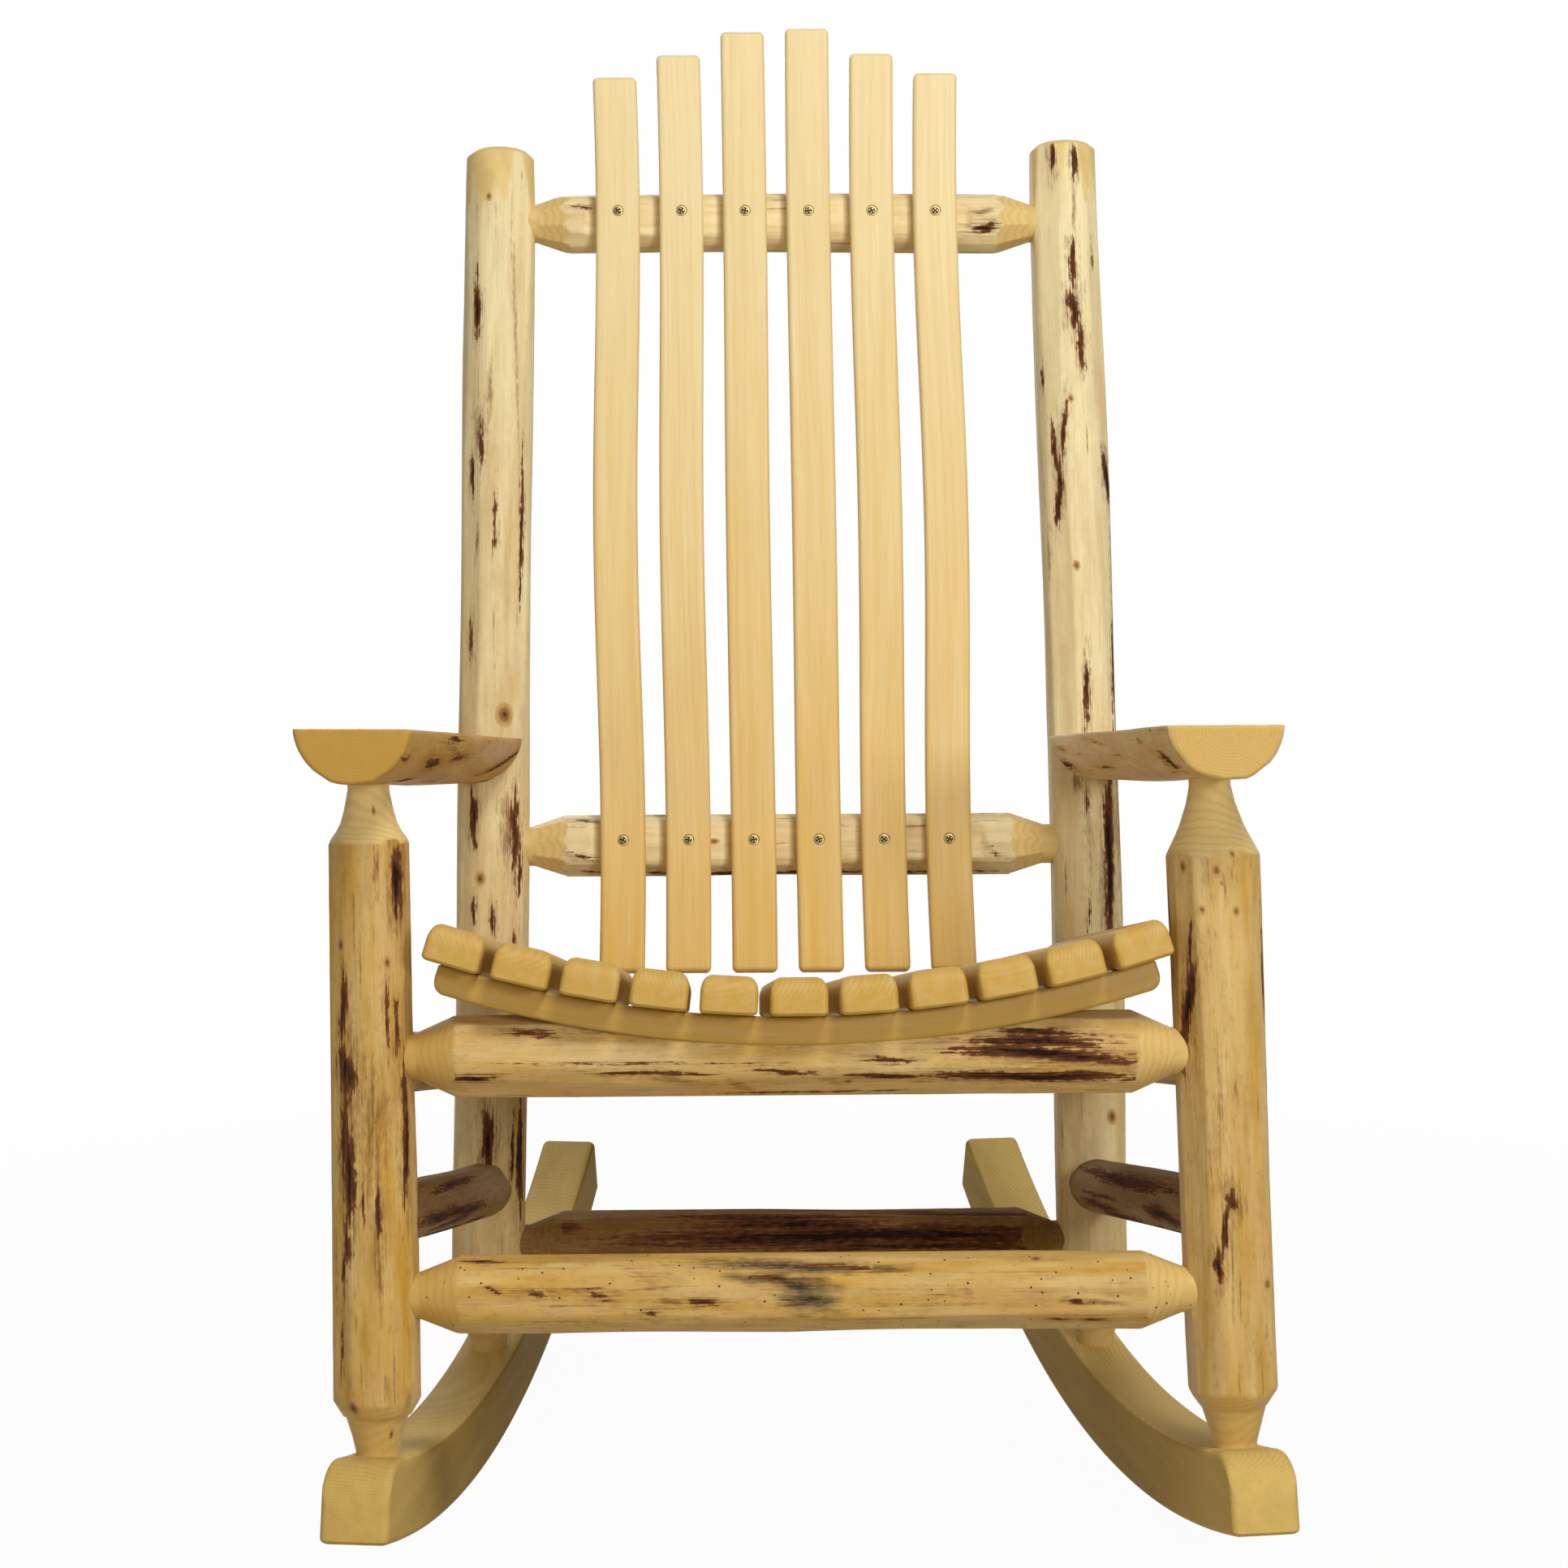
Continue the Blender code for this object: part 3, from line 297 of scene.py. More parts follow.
# The finish is dull on bark and stains
shade = add(tree, "Math", {0: skin, 1: stain}, operation="MAXIMUM").outputs[0]
shade = add(tree, "Math", {0: shade, 1: rust}, operation="MAXIMUM").outputs[0]
dull = add(tree, "MapRange", {"Value": shade, "To Min": .5, "To Max": .95}).outputs[0]
tree.links.new(dull, finish.inputs["Roughness"])


def peeled_log(node, foot, way, outline, seed, marks, tone_light_and_shade=.7, knife=1, planes=(), bow=(0, 0),
               taper=(1, 1), heart=0, holes=0, facets=0):
    """A log along its own z: the outline spun once round, drawn flat with the knife, and marked.
    Bark, rust and stain are rows of (from mm, to mm, angle, angle, half width mm, strength), knots are
    rows of (height mm, angle, half mm), and a worn log is as dark on its points as elsewhere. Planes are
    (angle, distance from the pith, from, to), taper is the share of the radius at foot and top, and ripe
    may be such a pair too. Heart is where a half log's middle lies along x, holes is 1 where beetles
    bored, and facets is how many cuts shape each point."""
    thick = max(radius for radius, height in outline)
    low, high = outline[-1][1], outline[0][1]
    ring_step, cap_step = .003, .004
    bm = bmesh.new()
    line = [bm.verts.new((radius, 0, height)) for radius, height in ((0, high), *outline, (0, low))]
    for ends in zip(line, line[1:]):
        bm.edges.new(ends)
    for height in np.arange(low + ring_step / 2, high, ring_step):
        bmesh.ops.bisect_plane(bm, geom=bm.verts[:] + bm.edges[:], plane_co=(0, 0, height),
                               plane_no=(0, 0, 1))
    for radius in np.arange(cap_step, thick, cap_step):
        level = [e for e in bm.edges if abs(e.verts[0].co.z - e.verts[1].co.z) < 1e-6]
        bmesh.ops.bisect_plane(bm, geom=level, plane_co=(radius, 0, 0), plane_no=(1, 0, 0))
    bmesh.ops.spin(bm, geom=bm.verts[:] + bm.edges[:], cent=(0, 0, 0), axis=(0, 0, 1), dvec=(0, 0, 0),
                   angle=2 * pi, steps=120, use_merge=True)
    bmesh.ops.remove_doubles(bm, verts=bm.verts, dist=1e-6)
    bmesh.ops.recalc_face_normals(bm, faces=bm.faces)
    mesh, x, y, z = as_mesh(bm, node)
    spun, angle = np.hypot(x, y), np.arctan2(y, x)
    share = np.clip((z - low) / (high - low), 0, 1)
    dice = np.random.default_rng(seed)
    if facets:
        # Only the point is cut so, between the tenon and the full log
        tenon = .0172
        edge = (angle + dice.uniform(0, 1)) % (2 * pi / facets) - pi / facets
        facet = spun * cos(pi / facets) / np.cos(edge) * 1.02
        spun = np.where((spun > tenon) & (spun < thick - 1e-4), facet, spun)
    # The natural log, from the middle that its half may have
    ahead = np.cos(angle)
    reach = np.sqrt(np.maximum(thick ** 2 - heart ** 2 * (1 - ahead ** 2), 0)) - heart * ahead
    for turns, size in ((2, .0006), (3, .0005), (5, .0003)):
        reach += size * np.sin(turns * angle + dice.uniform(6, 20) * z + dice.uniform(0, 6))
    slim = taper[0] + (taper[1] - taper[0]) * share
    reach *= slim
    # The drawknife's flats, each deeper and shallower along the log, and then the sawn planes
    flats, draws = 8, []
    for number in range(flats):
        turn = 360 * (number + dice.uniform(-.3, .3)) / flats
        bite = knife * dice.uniform(.04, .115)
        swell = .65 + .35 * np.sin(z * dice.uniform(8, 20) + dice.uniform(0, 6))
        draws.append((turn, thick * (1 - bite * swell) * slim))
    grazing = .05
    for turn, distance, *ends in (*draws, *planes):
        distance = distance(z) if callable(distance) else distance
        facing = np.cos(angle - radians(turn))
        level = (distance - heart * cos(radians(turn))) / np.maximum(facing, grazing)
        inside = facing > grazing
        if ends:
            inside &= (z > ends[0]) & (z < ends[1])
        reach = np.where(inside, np.minimum(reach, level), reach)
    # What is cut: a half log's two ends, or a log's points, which fade into its round over .8 mm
    if heart:
        radius = spun / thick * reach
        cone = 1. * (spun < thick * .97)
    else:
        radius = np.minimum(spun, reach)
        cone = np.where(spun < thick - .0004, np.clip((reach - spun) / .0008, 0, 1), 0)
    x, y = heart + radius * np.cos(angle), radius * np.sin(angle)
    round_pith = np.arctan2(y, x)

    def aside(middle):
        """How far round the log each point lies from an angle, in mm."""
        return ((round_pith - middle + pi) % (2 * pi) - pi) * thick * 1000

    def smear(rows):
        """How strong the marks of some rows are at each point."""
        depth = 0 * z
        for start, end, turn, last, half, strength in rows:
            along = (2000 * z - start - end) / (end - start + 1)
            wander = half * .2 * np.sin(along * dice.uniform(2, 5) + dice.uniform(0, 6)) / 1000 / thick
            middle = np.radians(turn + (last - turn) * np.clip(along / 2 + .5, 0, 1)) + wander
            far = np.sqrt((aside(middle) / half) ** 2 + np.abs(along) ** 2.5)
            depth = np.maximum(depth, strength * np.clip(1 - far / 2, 0, 1))
        return depth

    # Streaks on the sides that the picture doesn't show
    starts, turns = dice.uniform(1000 * low + 30, 1000 * high - 120, 14), dice.uniform(100, 260, 14)
    unseen = [(start, start + dice.uniform(40, 170), turn, turn + dice.uniform(-8, 8),
               dice.uniform(1.2, 5), 1) for start, turn in zip(starts, turns)]
    streaks = marks.get("bark", []) + ([] if heart else unseen)
    halos = [(start - half * 3, end + half * 3, turn, last, half * 1.9, strength * .75)
             for start, end, turn, last, half, strength in streaks]
    # Fine brown hairlines all round
    starts, turns = dice.uniform(1000 * low, 1000 * high, 30), dice.uniform(-110, 250, 30)
    fine = [(start, start + dice.uniform(15, 90), turn, turn + dice.uniform(-4, 4),
             dice.uniform(.5, 1), .8) for start, turn in zip(starts, turns)]
    dark, grey = smear(streaks), smear(marks.get("stain", []))
    brown = smear(marks.get("rust", []) + halos + fine)
    bare = 0 * cone if marks.get("worn") else cone
    note(mesh, "marks", dark * (1 - cone), grey, brown * (1 - bare))
    # A knot is longer than wide, and its rim fades out well past its half width
    eye = 0 * z
    for height, turn, half in marks.get("knot", []):
        half *= 1.4
        far = np.hypot(aside(radians(turn)) / half, (1000 * z - height) / half / 1.3)
        eye = np.maximum(eye, 1 - far / 1.5)
    note(mesh, "joint", np.clip(eye, 0, 1), bare, holes + 0 * z)
    note(mesh, "place", x + .003, y - .002, z + seed * 1.3)
    swing = np.sin(pi * share) ** 2
    move(mesh, x + bow[0] * swing, y + bow[1] * swing, z)
    # The two cut ends have tones of their own, and an upright log's top point is painted paler as painted
    # light, which on a front post is its neck under the arm. A half log's sides are painted paler than its
    # ends, as painted light on its shaded sides
    tone = np.interp(z, (low, high), np.broadcast_to(tone_light_and_shade, 2))
    end_tones_and_lit_neck = (.35, .35) if facets else (.72, .22) if way[2] > .7 else (.82, .45)
    if heart:
        tone -= .2 * (1 - cone)
    else:
        tone += (np.interp(z, (low, high), end_tones_and_lit_neck) - tone) * bare
    face = (0, 0, 1) if abs(way[1]) > .7 else (0, -1, 0)
    set_up(mesh, node, stand(foot, way, face), peeled_pine, tone)


peeled_log("front_post_left", (-.30575, -.38893, .09817), (-.00685, .08194, .99661),
           ((.015, .50748), (.015, .4845), (.0178, .47), (.0205, .4605), (.0238, .4543), (.0318, .4430),
            (.0318, .0425), (.0252, .0315), (.0228, .0305), (.0185, .016), (.016, .005), (.015, -.03)), 11,
           {"bark": [(400, 440, 49, 51, 4.9, 1.3), (392, 405, 47, 48, 2.6, 1.0),
                     (301, 351, -42, -35, 3.5, 1.0), (295, 350, 30, 27, 2.3, .9),
                     (294, 338, 45, 44, 2.3, .9), (266, 301, -29, -37, 7.5, 1.0),
                     (173, 240, -30, -30, 4.6, 1.1), (188, 282, 52, 62, 3.5, 1.1),
                     (161, 202, 10, 12, 2.6, .9), (119, 158, -44, -39, 2.3, .8),
                     (170, 202, -8, -11, 1.7, .8), (205, 275, -38, -34, 5, .85),
                     (135, 180, -34, -36, 4, .85), (225, 300, 55, 58, 4, .85), (60, 110, -50, -46, 2, .8)],
            "rust": [(150, 340, -34, -34, 9, .75), (180, 320, 50, 56, 7, .7), (406, 444, 14, 15, 2.3, .8),
                     (179, 301, 4, 2, 11.6, .7), (120, 237, 11, 11, 3.5, .9), (60, 119, -47, -44, 2.3, .7)],
            "stain": [(41, 61, 20, 18, 2.9, .6), (36, 54, 52, 50, 3.5, .6)],
            "knot": [(374, -42, 2.9), (361, 30, 2.3), (470, 17, 1.7), (41, -28, 3.5), (19, 36, 2.3)]},
           tone_light_and_shade=.85, taper=(1.02, .92))
peeled_log("front_post_right", (.31957, -.38893, .09817), (-.03825, .08188, .99591),
           ((.0152, .50783), (.0152, .4848), (.0178, .4725), (.0231, .457), (.0266, .4494), (.0345, .434),
            (.0345, .047), (.0246, .0325), (.0234, .0315), (.016, .005), (.015, -.03)), 12,
           {"bark": [(350, 392, -48, -39, 1.7, 1.0), (297, 356, -62, -42, 5.2, 1.2),
                     (279, 309, -64, -66, 3.5, 1.0), (441, 444, -56, -45, 2.9, .8),
                     (180, 195, 1, -1, 4.4, 1.0), (148, 183, -15, -7, 2.6, 1.0),
                     (128, 151, -21, -21, 3.5, 1.0), (312, 389, 69, 65, 2.0, 1.0),
                     (169, 294, 73, 74, 2.0, 1.1)],
            "rust": [(405, 436, -12, -16, .9, .9), (400, 430, 8, 3, .9, .9), (412, 440, 12, 20, .8, .9),
                     (98, 133, 6, 5, 1.7, .8), (256, 274, 11, 10, 1.7, .7), (198, 304, -8, -11, 5.2, .5)],
            "knot": [(428, -50, 2.3), (425, -4, 2.3), (397, -23, 1.7), (395, 19, 2.0), (436, 17, 1.5),
                     (129, -18, 2.3), (123, 49, 2.3), (416, 2, 1.2)]},
           tone_light_and_shade=.72, taper=(.95, 1.01))


# Back posts: the tallest logs, leaning back from the rockers, with a pencil point at the foot
# and a sawn top that is rounded over with sandpaper.
back_outline = ((.018, 1.06114), (.0255, 1.05964), (.03, 1.05514), (.032, .99), (.032, .045),
                (.0245, .0315), (.0232, .0305), (.016, .005), (.015, -.03))
peeled_log("back_post_left", (-.25236, .03069, .06068), (.00639, .25037, .96813),
           ((.018, 1.05514), (.0255, 1.05364), (.03, 1.04914), *back_outline[3:]), 21,
           {"bark": [(1019, 1045, -14, -13, 2.8, .9), (912, 949, -33, -35, 1.7, .8),
                     (879, 927, -33, -36, 3.1, 1.1), (765, 801, -22, -25, 3.5, .8),
                     (737, 774, -40, -45, 2.8, 1.0), (677, 742, -1, 2, 2.1, .8),
                     (643, 774, 49, 48, 2.1, .9), (592, 628, -39, -44, 2.8, .8),
                     (428, 476, -29, -33, 3.5, .9), (421, 442, -25, -29, 2.1, .9),
                     (400, 475, 39, 41, 4.9, .9), (380, 429, 50, 53, 2.8, .8),
                     (354, 382, -28, -26, 2.8, .8), (347, 375, 5, 2, 2.4, .9), (337, 358, 44, 42, 2.8, .8),
                     (150, 198, 1, 0, 4.9, 1.1), (109, 199, 57, 55, 3.5, 1.1), (89, 151, 85, 93, 4.2, 1.2),
                     (136, 191, 39, 41, 2.1, .9)],
            "rust": [(1008, 1030, -18, -16, 2.4, .9), (786, 859, -14, -8, 2.8, .7),
                     (772, 816, -31, -29, 6.3, .8), (773, 993, 41, 25, 2.1, .7),
                     (414, 471, 30, 32, 10.5, .9), (671, 714, -35, -26, 2.8, .7)],
            "knot": [(541, 19, 4.9), (398, -17, 3.1), (1006, -15, 1.7)]},
           tone_light_and_shade=(.62, 0))
peeled_log("back_post_right", (.26619, .03069, .06068), (-.00639, .25037, .96813), back_outline, 22,
           {"bark": [(1030, 1056, -26, -22, 3.5, 1.0), (1022, 1056, 11, 15, 3.1, 1.0),
                     (921, 969, 2, 7, 3.1, 1.0), (884, 921, 7, -1, 4.9, 1.0), (847, 892, 16, 11, 2.8, 1.0),
                     (833, 855, -57, -58, 2.1, .8), (764, 822, -26, -12, 2.4, 1.0),
                     (750, 798, -33, -40, 3.1, 1.0), (706, 764, -39, -27, 3.5, 1.0),
                     (524, 589, -1, 5, 2.8, 1.0), (730, 773, 62, 52, 3.5, 1.2), (533, 657, 51, 66, 2.8, .9),
                     (348, 482, 33, 35, 4.2, 1.3), (453, 475, -2, -3, 2.1, .9), (347, 383, -5, -2, 1.7, .8),
                     (934, 964, 42, 42, 2.1, .8)],
            "rust": [(360, 700, 60, 64, 5, .8), (962, 1026, 8, 11, 1.4, .9), (657, 715, -60, -52, 2.8, .7),
                     (727, 742, -21, -34, 4.9, .7), (471, 486, -18, -20, 4.2, .9),
                     (397, 482, 2, -7, 6.3, .5)],
            "knot": [(671, -8, 2.1), (190, 29, 3.1), (821, -7, 1.7)]},
           tone_light_and_shade=(.45, -.1), bow=(0, .004))


# Seat rails: the front and back logs that carry the seat bearers, each hollowed on top to a shallow
# saddle, and the two side logs between front and back posts. All have pencil points in bored holes.
SADDLE_RADIUS, SADDLE_RISE = .8786, .8865     # the saddle's arc, and its middle above the front rail's pith
SADDLE_MIDDLE, SADDLE_TURN = .308, -100.3     # its place along the front rail, and the angle of the seat's up


def saddle(drop, shift):
    """How far up a seat rail's saddle lies from its pith, if it lies lower and starts further in."""
    return lambda z: drop + SADDLE_RISE - np.sqrt(
        np.maximum(SADDLE_RADIUS ** 2 - (z + shift - SADDLE_MIDDLE) ** 2, 0))


peeled_log("seat_rail_front", (-.30774, -.36506, .3885), (1, 0, 0),
           ((.017, .60966), (.017, .58066), (.0305, .55066), (.0305, .0625), (.017, .0325),
            (.017, .0035)), 31,
           {"bark": [(422, 545, -16, 0, 4.1, 1.2), (434, 528, -29, -22, 3.5, 1.1),
                     (452, 511, -44, -33, 4.1, 1.0), (341, 405, 21, 26, 2.3, 1.0),
                     (411, 547, 24, 28, 4.1, 1.2), (358, 393, -3, 1, 2.0, .9), (60, 87, 24, 23, 2.3, 1.1),
                     (65, 294, 1, 2, .9, .8), (160, 247, 14, 18, 2.0, .9), (277, 323, 11, 19, 2.0, .9),
                     (242, 394, 60, 63, 1.7, .8), (96, 137, -44, -43, 4.1, .8)],
            "rust": [(405, 493, -24, -6, 7.0, .8), (189, 247, 12, 38, 5.2, .7), (253, 277, 19, 61, 7.0, .7),
                     (323, 341, 27, 43, 4.1, .7), (120, 330, -50, -30, 9, .6)],
            "knot": [(534, -33, 1.5), (344, 35, 2.3)]},
           planes=((SADDLE_TURN, saddle(drop=0, shift=0)),))
peeled_log("seat_rail_back", (-.26059, .01373, .31459), (1, 0, 0),
           ((.013, .52128), (.013, .50628), (.0305, .47628), (.0305, .0565), (.013, .0265),
            (.013, .0115)), 32,
           {}, planes=((SADDLE_TURN, saddle(drop=.005, shift=.0471)),))
for side, foot, way, ends, seed in (
        ("left", (-.30771, -.36547, .3835), (.12135, .97661, -.17748),
         (.46364, .43464, .40464, .0625, .0325, .019), 33),
        ("right", (.30861, -.36547, .3835), (-.09409, .97952, -.17801),
         (.46225, .43325, .40325, .0655, .0355, .019), 34)):
    outline = tuple(zip((.013, .013, .0235, .0235, .013, .013), ends))
    peeled_log("seat_side_rail_" + side, foot, way, outline, seed, {})


# Stretchers: the four low logs that tie the posts. The front one is bored by beetles and stained blue-black
# in the middle, the back and side ones have most of their dark inner bark left on.
peeled_log("front_stretcher", (-.30655, -.37933, .215), (1, 0, 0),
           ((.017, .61513), (.017, .58613), (.02875, .55613), (.02875, .0625), (.017, .0325),
            (.017, .0035)), 41,
           {"bark": [(307, 360, -63, -51, 2.9, .9), (278, 298, -38, -35, 2.6, .9),
                     (292, 307, -6, 4, 2.3, .8), (227, 248, -3, 3, 2.9, .9), (63, 93, -74, -73, 2.0, 1.0),
                     (81, 93, -27, -15, 1.7, .8), (111, 126, -15, -13, 3.5, .8),
                     (155, 170, -20, -5, 3.5, .8), (196, 205, 15, 20, 2.9, .8), (502, 512, 3, 5, 2.6, .9),
                     (486, 504, 37, 37, 2.3, .8), (510, 527, 39, 40, 2.3, .8)],
            "rust": [(205, 225, -3, 0, 2.3, 1.0), (82, 176, -21, -17, 2.9, .8),
                     (175, 216, -58, -19, 8.7, .5), (351, 392, -54, -46, 3.5, .7),
                     (503, 544, 4, 5, 2.3, .8), (316, 462, 7, 7, 1.7, .6), (82, 234, 30, 30, 2.3, .5),
                     (421, 433, -27, -3, 4.6, .6)],
            "stain": [(240, 363, -68, -51, 5, 1.6), (286, 330, -32, -20, 7, 1.5), (296, 333, -8, 7, 9, 1.5),
                      (255, 300, -36, -38, 4, 1.4)],
            "knot": [(120, -14, 2.6), (479, -70, 2.6), (355, -55, 2.6)]},
           tone_light_and_shade=.8, holes=1)
peeled_log("back_stretcher", (-.25181, .05223, .144), (1, 0, 0),
           ((.017, .51172), (.017, .48272), (.02875, .45272), (.02875, .06474), (.017, .03474),
            (.017, .00574)), 42,
           {"bark": [(130, 490, -25, -22, 8.4, 1.2), (179, 344, -45, -45, 7.0, 1.1),
                     (317, 469, -28, -25, 4.9, 1.1), (34, 82, -51, -38, 9.1, .9),
                     (81, 498, -103, -79, 2.8, .8), (150, 330, -66, -62, 5, 1.0),
                     (330, 500, -75, -72, 4, 1.1), (230, 470, -8, -2, 5, 1.0)],
            "rust": [(-60, 580, -60, -60, 70, .9)],
            "worn": True},
           tone_light_and_shade=2)
for side, foot, way, length, seed, marks in (
        ("left", (-.30693, -.3748, .27), (.12326, .9765, -.17681), .44963, 43,
         {"bark": [(64, 316, 109, 98, 2.8, 1.1), (129, 300, 48, 42, 3.5, 1.0)],
          "rust": [(-60, 510, 80, 80, 40, .55)]}),
        ("right", (.31297, -.3748, .27), (-.10616, .97844, -.17716), .44874, 44,
         {"bark": [(64, 162, -114, -104, 5.6, 1.2), (67, 413, -59, -50, 6.3, .9)],
          "rust": [(-60, 510, -80, -80, 50, .5)]})):
    outline = ((.023, length - .006), (.023, .006))
    peeled_log("side_stretcher_" + side, foot, way, outline, seed, marks, tone_light_and_shade=2)


# Armrests: half logs with the sawn side up, drilled underneath for the front post
# and scribed round the back post.
for side, foot, way, length, seed, tone_light_and_shade, marks in (
        ("left", (-.31219, -.43208, .63608), (.08029, .99094, -.10765), .6003, 51, 1.25,
         {"bark": [(0, 36, 124, 124, 2.3, .9), (112, 173, 126, 127, 4.6, .9), (217, 290, 122, 118, 2.3, .9),
                   (162, 241, 102, 101, 3.5, .8), (96, 152, 157, 153, 1.5, 1.0),
                   (444, 576, 145, 109, 2.3, 1.0), (506, 639, 169, 145, 1.7, 1.0)],
          "rust": [(146, 277, 105, 122, 4.1, .7)]}),
        ("right", (.30022, -.43231, .6361), (-.0374, .99346, -.10792), .59901, 52, .7,
         {"bark": [(45, 67, -139, -123, 5.2, 1.1), (520, 588, -136, -129, 3.5, 1.0),
                   (318, 411, -140, -136, 1.5, .8)],
          "rust": [(298, 374, -109, -102, 1.5, .8), (487, 569, -112, -109, 2.3, .7),
                   (117, 138, -110, -104, 1.5, .8)]})):
    outline = ((.039, length), (.0415, length - .0012), (.0425, length - .004), (.0425, .004),
               (.0415, .0012), (.039, 0))
    peeled_log("armrest_" + side, foot, way, outline, seed, marks, tone_light_and_shade, knife=.25, planes=((0, -.003),),
               heart=-.022)


# Back rails: two logs between the back posts, with points that are cut facet by facet, planed flat
# in front where the slats are screwed on.
FLAT_HALF, FLAT_DEPTH = .172, .02096          # half the flat's length, and its distance from the pith
for name, foot, middle, ends, turn, seed, marks in (
        ("back_rail_lower", (-.24962, .13822, .4765), .0045,
         (.50794, .47894, .44894, .06412, .03412, .00512), -17.7, 61,
         {"bark": [(69, 90, -68, -60, 2.4, .9), (66, 90, 4, 23, 2.1, .9), (65, 418, 53, 64, 2.8, .9),
                   (432, 437, -7, 25, 2.8, .8)],
          "knot": [(192, -17, 2.1)]}),
        ("back_rail_upper", (-.24604, .27865, 1.0195), .0007,
         (.50178, .47278, .44278, .06313, .03313, .00413), -11.3, 62,
         {"bark": [(62, 84, -36, -32, 2.1, .8), (61, 446, 76, 80, 1.7, .9), (422, 441, 15, 7, 4.2, 1.0)],
          "rust": [(419, 438, -18, -24, 4.2, .9), (55, 62, 9, 15, 3.5, .8)]})):
    outline = tuple(zip((.017, .017, .027, .027, .017, .017), ends))
    along = middle - foot[0]
    peeled_log(name, foot, (1, 0, 0), outline, seed, marks, tone_light_and_shade=.12,
               planes=((turn, FLAT_DEPTH, along - FLAT_HALF, along + FLAT_HALF),), facets=9)


# Back slats: six thin planed pine slats, steamed to a slight bend, that step up to the middle pair.
# Each is held by one countersunk screw at either rail.

# Planed pine: light honey, fine straight grain, a soft sheen
planed_pine = pine("planed_pine", pale="F2DCA4", gold="E0B250", ring="C08F42", ring_mm=2.2, ring_share=.065,
                   waver=.9, wide_mm=9, long_mm=140, mottle=.14, fibre_share=.05, roughness=.45, bump_mm=.04,
                   shine=.25)[0]

SLAT_WIDTH, SLAT_DEPTH, SLAT_FOOT = .0387, .017, .314887
SLAT_EASE, SLAT_END_EASE = .004, .005
SLAT_STEP, SLAT_SPREAD = .0562, .0019           # from slat to slat, and how much more at mid height
SLATS_ASIDE, SLATS_DRIFT = -.0024, -.0038       # the row's middle at the lower rail, and its drift upwards
SLAT_BEND, SLAT_AHEAD = 5, .0298                # the bend's radius, and how far the slats lie in front
LOWER_SCREW, UPPER_SCREW = .429499, .990364     # reach of the two rails up the back
PIT, PIT_CELLS = .008, 8                        # half the fine square round a screw, and its cells
PIT_RINGS = ((0, .0021), (.0015, .0021), (.0030, .0021), (.0044, .0021), (.0047, .0013), (.0049, .0002),
             (.0053, 0), (.0066, 0))            # radius and depth of each ring of the countersink
back_frame = stand((.00691, .03069, .06068), (0, .25038, .96815), (1, 0, 0))


def slat_middle(number, reach):
    """Where a back slat's middle lies: across the back, and behind the line of the posts."""
    share = (reach - LOWER_SCREW) / (UPPER_SCREW - LOWER_SCREW)
    step = SLAT_STEP + SLAT_SPREAD * np.sin(pi * share) ** 2
    half, middle = (UPPER_SCREW - LOWER_SCREW) / 2, (UPPER_SCREW + LOWER_SCREW) / 2
    behind = (half ** 2 - (reach - middle) ** 2) / (2 * SLAT_BEND) - SLAT_AHEAD
    return SLATS_ASIDE + SLATS_DRIFT * share + (number - 3.5) * step, behind


for number, top in enumerate((1.111253, 1.131228, 1.152102, 1.155102, 1.132728, 1.115153), 1):
    length = top - SLAT_FOOT
    pits = [reach - SLAT_FOOT - length / 2 for reach in (LOWER_SCREW, UPPER_SCREW)]
    cuts = [cut for cut in np.arange(-length / 2 + .02, length / 2 - .01, .03)
            if min(abs(cut - pit) for pit in pits) > 1.5 * PIT]
    cuts += [pit + side for pit in pits for side in (-PIT, PIT)]
    bm = board(SLAT_WIDTH, SLAT_DEPTH, length, SLAT_EASE, SLAT_END_EASE, cuts)
    for pit in pits:
        for side in (-PIT, PIT):
            front = [f for f in bm.faces if f.normal.y < -.99 and abs(f.calc_center_median().z - pit) < PIT]
            bmesh.ops.bisect_plane(bm, geom=[*front, *{e for f in front for e in f.edges},
                                             *{v for f in front for v in f.verts}],
                                   plane_co=(side, 0, 0), plane_no=(1, 0, 0))
        patch = min((f for f in bm.faces if f.normal.y < -.99),
                    key=lambda f: (f.calc_center_median() - Vector((0, -SLAT_DEPTH / 2, pit))).length)
        bmesh.ops.subdivide_edges(bm, edges=patch.edges[:], cuts=2 * PIT_CELLS - 1, use_grid_fill=True)
        for vert in bm.verts:
            step = Vector((round(vert.co.x / PIT * PIT_CELLS), 0, round((vert.co.z - pit) / PIT * PIT_CELLS)))
            ring = int(max(abs(step.x), abs(step.z)))
            if vert.co.y < -SLAT_DEPTH / 2 + 1e-5 and ring < len(PIT_RINGS):
                radius, sunk = PIT_RINGS[ring]
                vert.co = step.normalized() * radius + Vector((0, -SLAT_DEPTH / 2 + sunk, pit))
    mesh, x, y, z = as_mesh(bm, f"back_slat_{number}")
    dice = np.random.default_rng(70 + number)
    lean = dice.uniform(-.02, .02)
    note(mesh, "place", x + dice.uniform(-.03, .03) + lean * z, y + dice.uniform(.05, .14), z + number * 2.7)
    # Painted light and shade: golden at the foot and paler towards the top, where the back is lit more, plus
    # a random tone for each slat
    tone_light_and_shade = .78 * np.clip(.5 - z / length, 0, 1) ** 1.2 + dice.uniform(-.06, .06)
    height = z + SLAT_FOOT + length / 2
    across, behind = slat_middle(number, height)
    move(mesh, x + across, y + behind, height)
    set_up(mesh, f"back_slat_{number}", back_frame, planed_pine, tone_light_and_shade, even=True)


# Back screws: zinc-plated wood screws with a cross recess, one through each slat into each rail.
# Each is driven in until its countersunk head lies just below the face.

